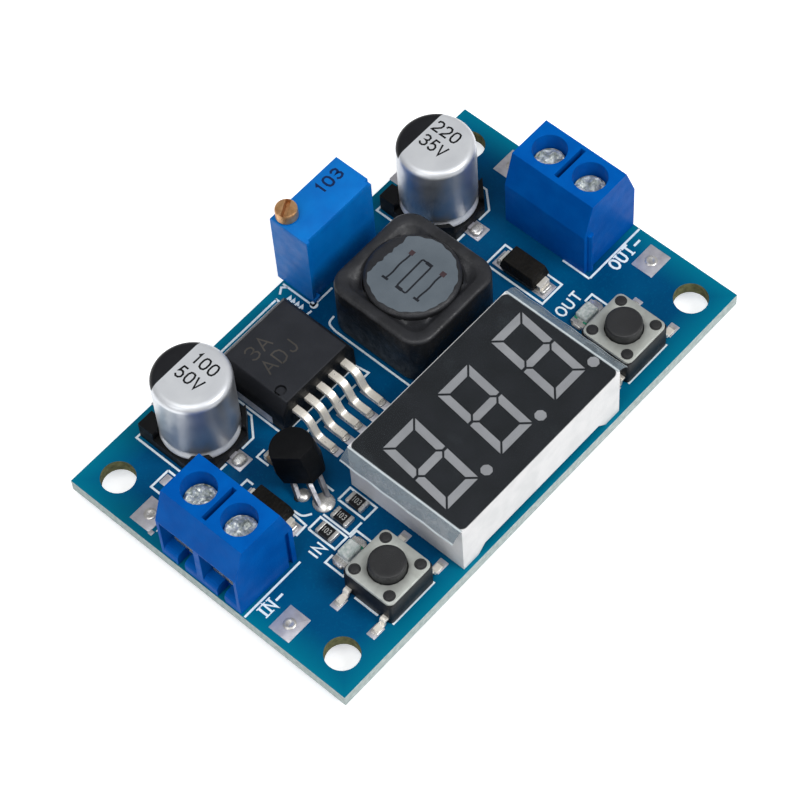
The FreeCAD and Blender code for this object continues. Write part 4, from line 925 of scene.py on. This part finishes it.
def trimmer_box():
    """The moulded box: its long side set back between end walls, a notch and a small foot."""
    x0, x1, y0, y1 = trimmer.x0, trimmer.x1, trimmer.y0, trimmer.y1
    low, top = trimmer.z0 + 0.02, trimmer.z1
    wall, back, notch, lip = 0.4, 0.28, 0.45, 0.02

    def at(z, inset=0.0, cut=notch):
        """The outline at a height, its free corner cut back for the notch."""
        i, side = inset, y0 + back + inset
        return ring([(x0 + i, y0 + i), (x0 + wall, y0 + i), (x0 + wall + 0.12, side),
                     (x1 - notch, side), (x1 - notch, side + cut),
                     (x1 - i, side + cut + lip), (x1 - i, y1 - i), (x0 + i, y1 - i)], z)

    box = skin([at(low, cut=lip), at(top - 0.62, cut=lip), at(top - 0.6), at(top - 0.12),
                at(top - 0.03, 0.05), at(top, 0.13)], TRIMMER)
    return [box, soft_block(x0 + 0.45, y0 + 0.1, 0.85, 0.5, low, 0.55, 0.12, 0.1, TRIMMER)]


def trimmer_screw():
    """The brass head with its slot, at the angle that the photograph shows."""
    span = Span("trimmer_screw")
    radius, top, shank, steps, round_steps = span.long / 2, span.z1, 0.5, 64, 18
    slot, half_slot, slot_depth, slot_wall = math.radians(29), 0.2, 0.6, 0.06
    sides = ((shank, span.z0), (shank, top - 1.32), (radius - 0.15, top - 1.3), (radius, top - 1.2),
             (radius, top - 0.2), (radius - 0.04, top - 0.08))
    rings = [ring(round_outline(span.x, span.y, reach, steps), z) for reach, z in sides]
    for k in range(round_steps, 0, -1):
        made = []
        for x, y in round_outline(span.x, span.y, (radius - 0.1) * k / round_steps, steps):
            across = abs((x - span.x) * math.sin(slot) - (y - span.y) * math.cos(slot))
            depth = slot_depth * max(0.0, 1 - max(across - half_slot, 0) / slot_wall)
            made.append((x, y, top - 0.02 - depth))
        rings.append(made)
    return skin(rings, BRASS)


def trimmer_piece():
    """The box with its printed value and brass screw, and the hidden parts' materials."""
    piece("trimmer_moulded_box", trimmer_box(), replaces=["trimmer_housing"])
    piece("trimmer_screw_head", [trimmer_screw()], body="trimmer_screw",
          replaces=["trimmer_screw"], angle=40)
    value = lettering("103", (trimmer.x0 + 5.4, trimmer.y0 + 2.8), (1, 0), 1.2, 0.88, 0.24,
                      trimmer.z1 - 0.004, 0.012, NAVY_INK)
    piece("trimmer_print", value)
    dress("trimmer_base", POTTING, bevel=0.03)
    dress("trimmer_pins", TIN)
    dress("trimmer_element", ALUMINA)
    dress("trimmer_carriage", CAN_BLACK, bevel=0.04)


trimmer_piece()


# Three digit display

def display_shell_paint():
    """White moulded shell with a matt black painted face, told apart by height and direction."""
    paint = Paint("white_shell_black_face")
    up = paint.add("MapRange", paint.axis("Z", "Normal"), 0.3, 0.5)
    high = paint.climb("Z", display.z1 - 0.25, display.z1 - 0.15)
    corner = 0.8                      # radius of the painted face's corners
    beyond = []
    for letter, middle, size in (("X", display.x, display.long), ("Y", display.y, display.wide)):
        out = paint.off(letter, middle)
        past = paint.add("Math", out, (size / 2 - corner) * MM, operation="SUBTRACT")
        past = paint.add("Math", 0.0, past, operation="MAXIMUM")
        beyond.append(paint.add("Math", past, 2.0, operation="POWER"))
    reach = paint.add("Math", paint.add("Math", *beyond, operation="ADD"), operation="SQRT")
    round_off = paint.add("MapRange", reach, (corner - 0.1) * MM, corner * MM, 1.0, 0.0)
    face = paint.add("Math", up, high, operation="MULTIPLY")
    face = paint.add("Math", face, round_off, operation="MULTIPLY")
    white = paint.add("MixRGB", paint.noise(2.0), "#e9e9ea", "#dedfe0")
    black = paint.add("MixRGB", paint.noise(3.0), "#1b1d20", "#212327")
    paint.set(Base_Color=paint.add("MixRGB", face, white, black), Specular_IOR_Level=0.15,
              Roughness=paint.add("MapRange", face, 0, 1, 0.42, 0.5))
    return paint.bump((paint.noise(0.2, 4.0), 0.006)).material


# Cast milky epoxy: a light grey that is even and soft
DIFFUSER = moulded("milky_light_guide", "#95979b", "#8c8e92", rough=0.4, grain=0.3, depth=0.004)
# Glass laminate under green mask: dull green
BACK_BOARD = moulded("display_back_laminate", "#3c6b46", "#335c3d", rough=0.5)


def film_paint():
    """Clear polyester: unseen on the face, milky and creased where it hangs, with painted highlights
    along its outer cut edge and where it folds over the display's ends.
    """
    paint = Paint("clear_polyester_film", rough=0.25, IOR=1.5, Specular_IOR_Level=0.12)
    out = paint.off("X", display.x)
    half, end = display.long / 2, film.long / 2
    past = paint.add("MapRange", out, (half - 0.12) * MM, (half + 0.1) * MM)
    # painted highlight: the film's outer edge and its fold over the display's ends turn pale and more
    # opaque
    outer_edge = paint.add("MapRange", out, (end - 0.14) * MM, (end - 0.08) * MM)
    onset = paint.add("MapRange", out, (half - 0.2) * MM, (half - 0.1) * MM)
    ease = paint.add("MapRange", out, (half + 0.02) * MM, (half + 0.12) * MM)
    fold = paint.add("Math", onset, ease, operation="SUBTRACT")
    cut = paint.add("Math", outer_edge, fold, operation="ADD")
    crease = paint.noise(0.9, 5.0, (1, 0.6, 1), 0.4, 0.62)
    smear = paint.noise(2.6, 5.0, (1, 0.5, 1), 0.62, 0.85)
    milky = paint.add("Math", past, paint.add("MapRange", crease, 0, 1, 0.35, 0.72), operation="MULTIPLY")
    edged = paint.add("Math", milky, paint.add("MapRange", cut, 0, 1, 0.0, 0.4), operation="ADD")
    dull = paint.add("Math", edged, paint.add("MapRange", smear, 0, 1, 0.012, 0.06), operation="ADD")
    glint_share = paint.add("Math", cut, 1.0, operation="MINIMUM")
    paint.set(Base_Color=paint.add("MixRGB", glint_share, "#7f8b93", "#dbe4e8"),
              Alpha=paint.add("Math", 0.95, dull, operation="MINIMUM"))
    return paint.bump((paint.noise(1.2), 0.02)).material


def film_sheet():
    """Clear protective film that lifts and droops past both ends, with a few bubbles."""
    seed = random.Random(3)
    bubbles = [(seed.uniform(film.x0 + 1, film.x1 - 1), seed.uniform(film.y0 + 0.5, film.y1 - 0.5),
                seed.uniform(0.25, 0.7)) for _ in range(16)]
    columns, rows, thick, lift = 130, 72, 0.03, 0.035
    droop, curl, sway, blister, ripple = 0.1, 0.5, 0.06, 0.018, 0.006

    def height(x, y):
        past = max(display.x0 - x, x - display.x1, 0.0)
        z = display.z1 + lift - (droop + curl * past + sway * math.sin(y * 1.9 + x)) * past
        for bubble_x, bubble_y, reach in bubbles:
            near = math.hypot((x - bubble_x) * 0.6, y - bubble_y) / reach
            z += blister * max(0.0, 1 - near * near)
        return z + ripple * math.sin(1.3 * x + 0.7 * y) + ripple

    low = []
    for j in range(rows + 1):
        for i in range(columns + 1):
            x = film.x0 + (film.x1 - film.x0) * i / columns
            y = film.y0 + (film.y1 - film.y0) * j / rows
            low.append((x, y, height(x, y)))
    top = [(x, y, z + thick) for x, y, z in low]
    count, across = len(top), columns + 1
    faces = []
    for j in range(rows):
        for i in range(columns):
            a = j * across + i
            b, c, d = a + 1, a + across + 1, a + across
            faces += [[a, b, c, d], [count + d, count + c, count + b, count + a]]
    border = list(range(across))
    border += [j * across + columns for j in range(1, rows + 1)]
    border += [rows * across + i for i in range(columns - 1, -1, -1)]
    border += [j * across for j in range(rows - 1, 0, -1)]
    for this, following in zip(border, border[1:] + border[:1]):
        faces.append([this, count + this, count + following, following])
    piece("peel_off_film", [(top + low, faces, film_paint())], replaces=["display_film"],
          angle=60)


def display_piece():
    """The display's materials and its protective film."""
    dress("display_shell", display_shell_paint(), bevel=0.05)
    dress("display_segments", DIFFUSER)
    dress("display_back_board", BACK_BOARD)
    dress("display_pins", TIN)
    film_sheet()


display_piece()


# Push buttons

# Pressed nickel silver: a warm satin grey
COVER = metal("satin_nickel_silver", "#b9bdb8", "#aeb1ac", rough=0.5, grain=0.3, depth=0.003, bare=0.5)
# Moulded nylon: black with a faint shine, and the button a little greyer from touch
SWITCH_BLACK = moulded("switch_base_nylon", "#131417", "#0d0e11", rough=0.5, gloss=0.3)
BUTTON = moulded("button_nylon", "#232426", "#1c1d1f", rough=0.5, grain=0.1, depth=0.008, gloss=0.5)


def cover_plate(x, y, side, high):
    """The pressed cover: a square with round corners, a rolled edge and the button's hole."""
    corner = 0.62

    def outline(inset, middle_x=x, middle_y=y):
        size = side - 2 * inset
        return finer(corner_outline(middle_x, middle_y, size, size, corner - inset * 0.5, 6), 4)

    turns = [math.atan2(b, a) for a, b in outline(0.0, 0.0, 0.0)]

    def hole(radius, z):
        return [(x + radius * math.cos(t), y + radius * math.sin(t), z) for t in turns]

    edge = ((0.0, -0.3), (0.0, -0.1), (0.03, -0.03), (0.1, 0.0))
    bore = ((2.0, 0.0), (1.93, -0.05), (1.92, -0.3))
    rings = [ring(outline(inset), high + rise) for inset, rise in edge]
    rings += [hole(radius, high + rise) for radius, rise in bore]
    return skin(rings, COVER, closed=True)


def button_profile(span, cover_top):
    """The button's stem, its flange under the cover and its cap with a rounded rim."""
    stem, flange, cap, rounding, top = 1.0, 2.1, 1.82, 0.24, span.z1 + 0.25
    profile = [(stem - 0.05, span.z0), (stem, span.z0 + 0.05), (stem, cover_top - 1.15),
               (flange - 0.02, cover_top - 1.1), (flange, cover_top - 0.65),
               (cap + 0.01, cover_top - 0.6), (cap, top - rounding)]
    profile += [(cap - rounding * (1 - math.cos(a)), top - rounding * (1 - math.sin(a)))
                for a in ROUND_STEPS]
    return profile + [(cap - 0.5, top)]


def push_button(end):
    """The cover on its riveted housing, the button through it, and four bent leads in solder."""
    cover, tips = switch_cover[end], switch_leads[end]
    x, y, high = switch[end].x, switch[end].y, cover.z1
    piece(end + "_cover_plate", [cover_plate(x, y, cover.long, high)],
          replaces=[end + "_switch_cover"], angle=40)
    apart, side = 2.15, 5.98
    rivet = [(0.6, -0.02), (0.6, 0.02), (0.55, 0.05), (0.47, 0.04), (0.42, 0.1), (0.3, 0.13), (0.1, 0.12)]
    parts = [turned(x + along * apart, y + across * apart,
                    [(radius, high + rise) for radius, rise in rivet], BUTTON, 28)
             for along in (-1, 1) for across in (-1, 1)]
    parts.append(soft_block(x, y, side, side, 0.02, high - 0.3, 0.35, 0.06, SWITCH_BLACK, foot=True))
    piece(end + "_switch_housing", parts, replaces=[end + "_switch_base"])
    node = end + "_switch_button"
    piece(end + "_button_cap", [turned(x, y, button_profile(Span(node), high), BUTTON, 64)],
          body=node, replaces=[node])
    reach, wide, thick, knee, foot = tips.x1 - x, 0.7, 0.25, 0.78, 0.14
    path = rounded_path([(2.9, knee), (3.42, knee), (3.5, foot), (reach, foot)], 0.16, 4)
    parts = []
    for way in (-1, 1):
        for across in (tips.y0 + wide / 2, tips.y1 - wide / 2):
            def put(u, v, w, way=way, across=across):
                return (x + way * u, across + w * way, v)
            parts.append(ribbon(path, wide, thick, put, LEAD, 0.04))
            parts.append(soft_block(x + way * (reach - 0.2), across, 1.1, 0.8, 0.03, 0.13, 0.2, 0.08,
                                    SOLDER))
    piece(end + "_switch_gull_leads", parts, replaces=[end + "_switch_leads"])
    dress(end + "_switch_dome", ZINC)


for end in ENDS:
    push_button(end)


# Small regulator, diodes, chips, controller and indicator lights

# Moulded epoxies of the small parts: all near black, the diode's coarse and brownish
PACK = moulded("small_pack_epoxy", "#101113", "#0b0c0e", rough=0.5, grain=0.12, depth=0.005, gloss=0.1)
DIODE = moulded("diode_epoxy", "#1d1b18", "#131210", rough=0.5, grain=0.3, depth=0.05, gloss=0.1)
# Fired glaze over a chip resistor: black and smoother than epoxy, with pale printed figures
CHIP = moulded("chip_glaze", "#1a1a1d", "#131316", rough=0.35, grain=0.2, depth=0.004)
CHIP_MARK = moulded("pale_chip_print", "#b9bab6", "#a3a4a0", rough=0.6)
# Fired barium titanate: a flat tan
CERAMIC = moulded("barium_titanate_chip", "#8d7a63", "#7f6c56", rough=0.5)
# Tinned legs: a grey darker than fresh tin, painted shade for legs that stand in the moulding's shadow,
# with darker patches
SHADED_LEG = metal("shaded_tinned_leg", "#a9a9ad", "#77787d", rough=0.42, bare=0.8)


def small_pack():
    """A round backed moulding with its flat and one bevel to the near side, on three bent legs."""
    x, y = SMALL_PACK
    low, high, radius, lean, steps = 2.0, 6.8, 2.3, 10.0, 72
    flats = ((214, 1.45), (268, 1.85))             # where each flat faces, and its distance
    outline = []
    for k in range(steps):
        t = math.radians(220 + 360 / steps * k)
        a, b = radius * math.cos(t), radius * math.sin(t)
        for facing, reach in flats:
            away = (math.cos(math.radians(facing)), math.sin(math.radians(facing)))
            over = max(0.0, a * away[0] + b * away[1] - reach)
            a, b = a - over * away[0], b - over * away[1]
        outline.append((a, b))
    sizes = ((0.88, low), (0.94, low + 0.06), (1.03, low + 2.0), (0.95, high - 0.3),
             (0.93, high - 0.12), (0.9, high - 0.03), (0.85, high))
    rings = [[(x + a * scale, y + b * scale, z) for a, b in outline] for scale, z in sizes]
    body = tilted(skin(rings, PACK), (x, y, low), lean, (-1, -1, 0))
    piece("small_pack_moulding", [body], replaces=["linear_regulator_body"], angle=30)
    dress("linear_regulator_legs", SHADED_LEG, bevel=0.06)


small_pack()


def solder_heaps():
    """Fillets round the small regulator's legs, under the capacitor tabs and at the diodes' ends."""
    parts, low, high = [], 0.03, 0.42
    heap = ((0.97, 0.3), (0.8, 0.62), (0.5, 0.88), (0.2, 1.0))
    legs = ((13.78, 15.15, 1.1), (13.09, 17.2, 0.75))
    for x, y, radius in legs:
        profile = [(radius, low)] + [(radius * reach, high * rise) for reach, rise in heap]
        parts.append(turned(x, y, profile, SOLDER, 32))
    for end in ENDS:
        tabs, ends = can_tabs[end], diode_ends[end]
        parts.append(soft_block(tabs.x, tabs.y0 - 0.1, 1.5, 1.3, low, high, 0.5, 0.35, SOLDER))
        for y in (ends.y0 - 0.15, ends.y1 + 0.15):
            parts.append(soft_block(ends.x, y, 1.45, 0.6, low, 0.5, 0.25, 0.25, SOLDER))
    return piece("solder_heaps", parts)


def underside_solder():
    """A ring and a fillet round each lead that comes through the board."""
    parts, under, joints = [], Span("pcb").z0, []
    inward, half_pitch = 3.68, 2.55                # the terminals' pins, from the board's end
    terminal_ring, pin_ring, leg_ring = (1.45, 0.62), (0.85, 0.32), (0.52, 0.28)
    for x in (inward, LENGTH - inward):
        joints += [(x, block["input"].y + way * half_pitch, *terminal_ring) for way in (-1, 1)]
    pins, three = Span("display_pins"), Span("trimmer_pins")
    joints += [(pins.x0 + 0.25 + (pins.long - 0.5) * k / 5, y, *pin_ring)
               for k in range(6) for y in (pins.y0 + 0.25, pins.y1 - 0.25)]
    joints += [(three.x + 2.54 * k, three.y, *pin_ring) for k in (-1, 0, 1)]
    legs = ((13.07, 15.26), (14.3, 15.26), (12.54, 17.4))          # of the small regulator
    joints += [(x, y, *leg_ring) for x, y in legs]
    for x, y, wide, thin in joints:
        rise = 0.75 * (wide - thin) + 0.25
        profile = [(thin, under - rise), (thin + 0.06, under - 0.75 * rise),
                   (0.6 * thin + 0.4 * wide, under - 0.4 * rise), (0.86 * wide, under - 0.1),
                   (0.9 * wide, under - 0.05), (wide, under - 0.04), (wide, under + 0.01)]
        parts.append(turned(x, y, profile, SOLDER, 28))
    return piece("underside_solder", parts)


solder_heaps()
underside_solder()


for end in ENDS:
    dress(end + "_diode_body", DIODE, bevel=0.12, segments=3)
    dress(end + "_diode_terminals", LEAD, bevel=0.03)


def chip_parts(chips, paint):
    """Chips with a dark or tan core between bright wrapped ends, lying along x or y."""
    long, wide, core, wrap, proud = 2.0, 1.25, 0.62, 0.4, 0.01
    blocks = [(0.0, long * core, 0.0, 0.03, 0.04, paint)]
    blocks += [(way * (long / 2 - 0.19), wrap, proud, 0.06, 0.06, SOLDER) for way in (-1, 1)]
    parts = []
    for x, y, low, high, along_y in chips:
        for shift, length, rise, corner, edge, material in blocks:
            where = (x, y + shift) if along_y else (x + shift, y)
            size = (wide, length) if along_y else (length, wide)
            parts.append(soft_block(*where, *size, low, high + rise, corner, edge, material, foot=True))
    return parts


def all_chips():
    """The chip resistors and capacitors on top, and the controller's own under the display."""
    low, tall, taller = 0.02, 0.55, 0.9            # a resistor's top and a capacitor's
    resistors = [(x, CHIP_ROW_Y, low, tall, True) for x in CHIP_ROW]
    capacitors = []
    under, aside, apart = Span("pcb").z0, 5.85, 2.2
    for row in (-1, 0, 1):
        y = display.y + row * apart
        resistors.append((display.x - aside, y, under - tall, under - 0.01, False))
        capacitors.append((display.x + aside, y, under - taller, under - 0.01, False))
    capacitors.append((*CHIP_CAPACITOR, low, taller, True))
    piece("resistor_chips", chip_parts(resistors, CHIP), replaces=["chip_resistors"])
    marks = []
    for x in CHIP_ROW:
        marks += lettering("103", (x - 0.28, CHIP_ROW_Y + 0.5), (0, -1), 0.56, 0.24, 0.07,
                           tall - 0.004, 0.007, CHIP_MARK, gap=0.12)
    piece("resistor_marks", marks)
    piece("capacitor_chips", chip_parts(capacitors, CERAMIC), replaces=["chip_capacitors"])


all_chips()


def clear_lens():
    """Clear epoxy, clouded over its die so that the carrier shows through as a pale glow."""
    paint = Paint("clear_epoxy_lens", rough=0.15, IOR=1.5, Transmission_Weight=0.35)
    paint.set(Base_Color=paint.add("MixRGB", paint.noise(0.35, 4.0), "#f6faf7", "#c3d2ce"))
    return paint.bump((paint.noise(0.3), 0.03)).material


LENS = clear_lens()
# Printed polarity marks: a fresh green
GREEN = moulded("green_cathode_mark", "#2f9a78", "#27866a", rough=0.5)
# White laminate that carries the die
LIGHT_BASE = moulded("white_light_carrier", "#d6d8d6", "#c8cbc8", rough=0.5)


def indicator(end, way):
    """A lens on its white carrier, with wrapped ends in solder and two green marks on one side."""
    x, y, top = light[end].x, light[end].y, light[end].z1
    low, carrier, wide, wrap_at, heap_at, mark_at = 0.03, 0.5, 1.6, 1.32, 1.45, 0.98
    parts = [soft_block(x, y, 2.1, wide, low, carrier, 0.05, 0.05, LIGHT_BASE),
             soft_block(x, y, 1.95, 1.5, carrier - 0.02, top, 0.25, 0.22, LENS)]
    for side in (-1, 1):
        parts.append(soft_block(x + side * wrap_at, y, 0.56, wide, low, carrier + 0.02, 0.06, 0.06,
                                SOLDER))
        parts.append(soft_block(x + side * heap_at, y, 0.8, 1.3, 0.02, 0.45, 0.35, 0.3, SOLDER,
                                foot=True))
    for across in (-0.55, 0.55):
        parts.append(soft_block(x + way * mark_at, y + across, 0.3, 0.42, carrier, carrier + 0.06,
                                0.05, 0.02, GREEN))
    piece(end + "_indicator", parts, replaces=[end + "_led"])


indicator("input", 1)
indicator("output", -1)
dress("microcontroller_body", MOULD, bevel=0.06)
dress("microcontroller_leads", LEAD)


# Light, floor and camera

def lamp(name, where, size, power):
    """A round soft lamp that points at the part."""
    data = bpy.data.lights.new(name, "AREA")
    data.shape, data.size, data.energy = "DISK", size, power
    thing = bpy.data.objects.new(name, data)
    thing.location = where
    thing.rotation_euler = (-Vector(where)).to_track_quat("-Z", "Y").to_euler()
    bpy.context.scene.collection.objects.link(thing)


def floor_paint():
    """White paper, matt. Seen straight on or in a reflection, it glows up to an even white."""
    paint = Paint("white_paper_floor", rough=0.9, Specular_IOR_Level=0.1)
    paint.set(Base_Color=paint.add("MixRGB", paint.noise(20.0), "#f4f4f4", "#f7f7f7"))
    glow = paint.add("Emission", "#ffffff", 0.55)
    path = paint.add("LightPath").node.outputs
    mirrored = paint.add("Math", path["Is Glossy Ray"], path["Is Transmission Ray"], operation="MAXIMUM")
    seen = paint.add("Math", path["Is Camera Ray"], mirrored, operation="MAXIMUM")
    plain = paint.shader.outputs[0]
    chosen = paint.add("MixShader", seen, plain, paint.add("AddShader", plain, glow))
    paint.fill(paint.tree.nodes["Material Output"].inputs["Surface"], chosen)
    return paint.material


def studio():
    """A pale world, three soft lamps in metres and watts, and a floor just under the part."""
    world = bpy.data.worlds.new("studio")
    bpy.context.scene.world = world
    world.use_nodes = True
    sky = world.node_tree.nodes["Background"].inputs
    sky["Color"].default_value, sky["Strength"].default_value = colour("#ffffff"), 0.3
    lamp("key", (0.10, -0.28, 0.34), 0.22, 1.1)
    lamp("fill", (-0.34, -0.02, 0.22), 0.25, 0.25)
    lamp("top", (-0.12, -0.02, 0.42), 0.30, 0.6)
    half, low = 1.5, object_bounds()[0][2] - 0.0001
    mesh = bpy.data.meshes.new("floor")
    mesh.from_pydata([(-half, -half, low), (half, -half, low), (half, half, low), (-half, half, low)],
                     [], [(0, 1, 2, 3)])
    floor = bpy.data.objects.new("floor", mesh)
    bpy.context.scene.collection.objects.link(floor)
    mesh.materials.append(floor_paint())
    floor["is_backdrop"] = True


def camera():
    """The photograph's camera, fitted to the board's corners and holes: place in mm, turn in degrees."""
    where, turn = (-108.05, -110.71, 252.35), (31.3345, 2.6449, -48.3034)
    data = bpy.data.cameras.new("camera")
    data.sensor_width, data.lens = 36.0, 137.84
    data.clip_start, data.clip_end = 0.01, 10.0
    thing = bpy.data.objects.new("camera", data)
    thing.location = Vector(where) * MM
    thing.rotation_euler = [math.radians(angle) for angle in turn]
    bpy.context.scene.collection.objects.link(thing)
    bpy.context.scene.camera = thing


studio()
camera()
bpy.context.scene.view_settings.view_transform = "Standard"
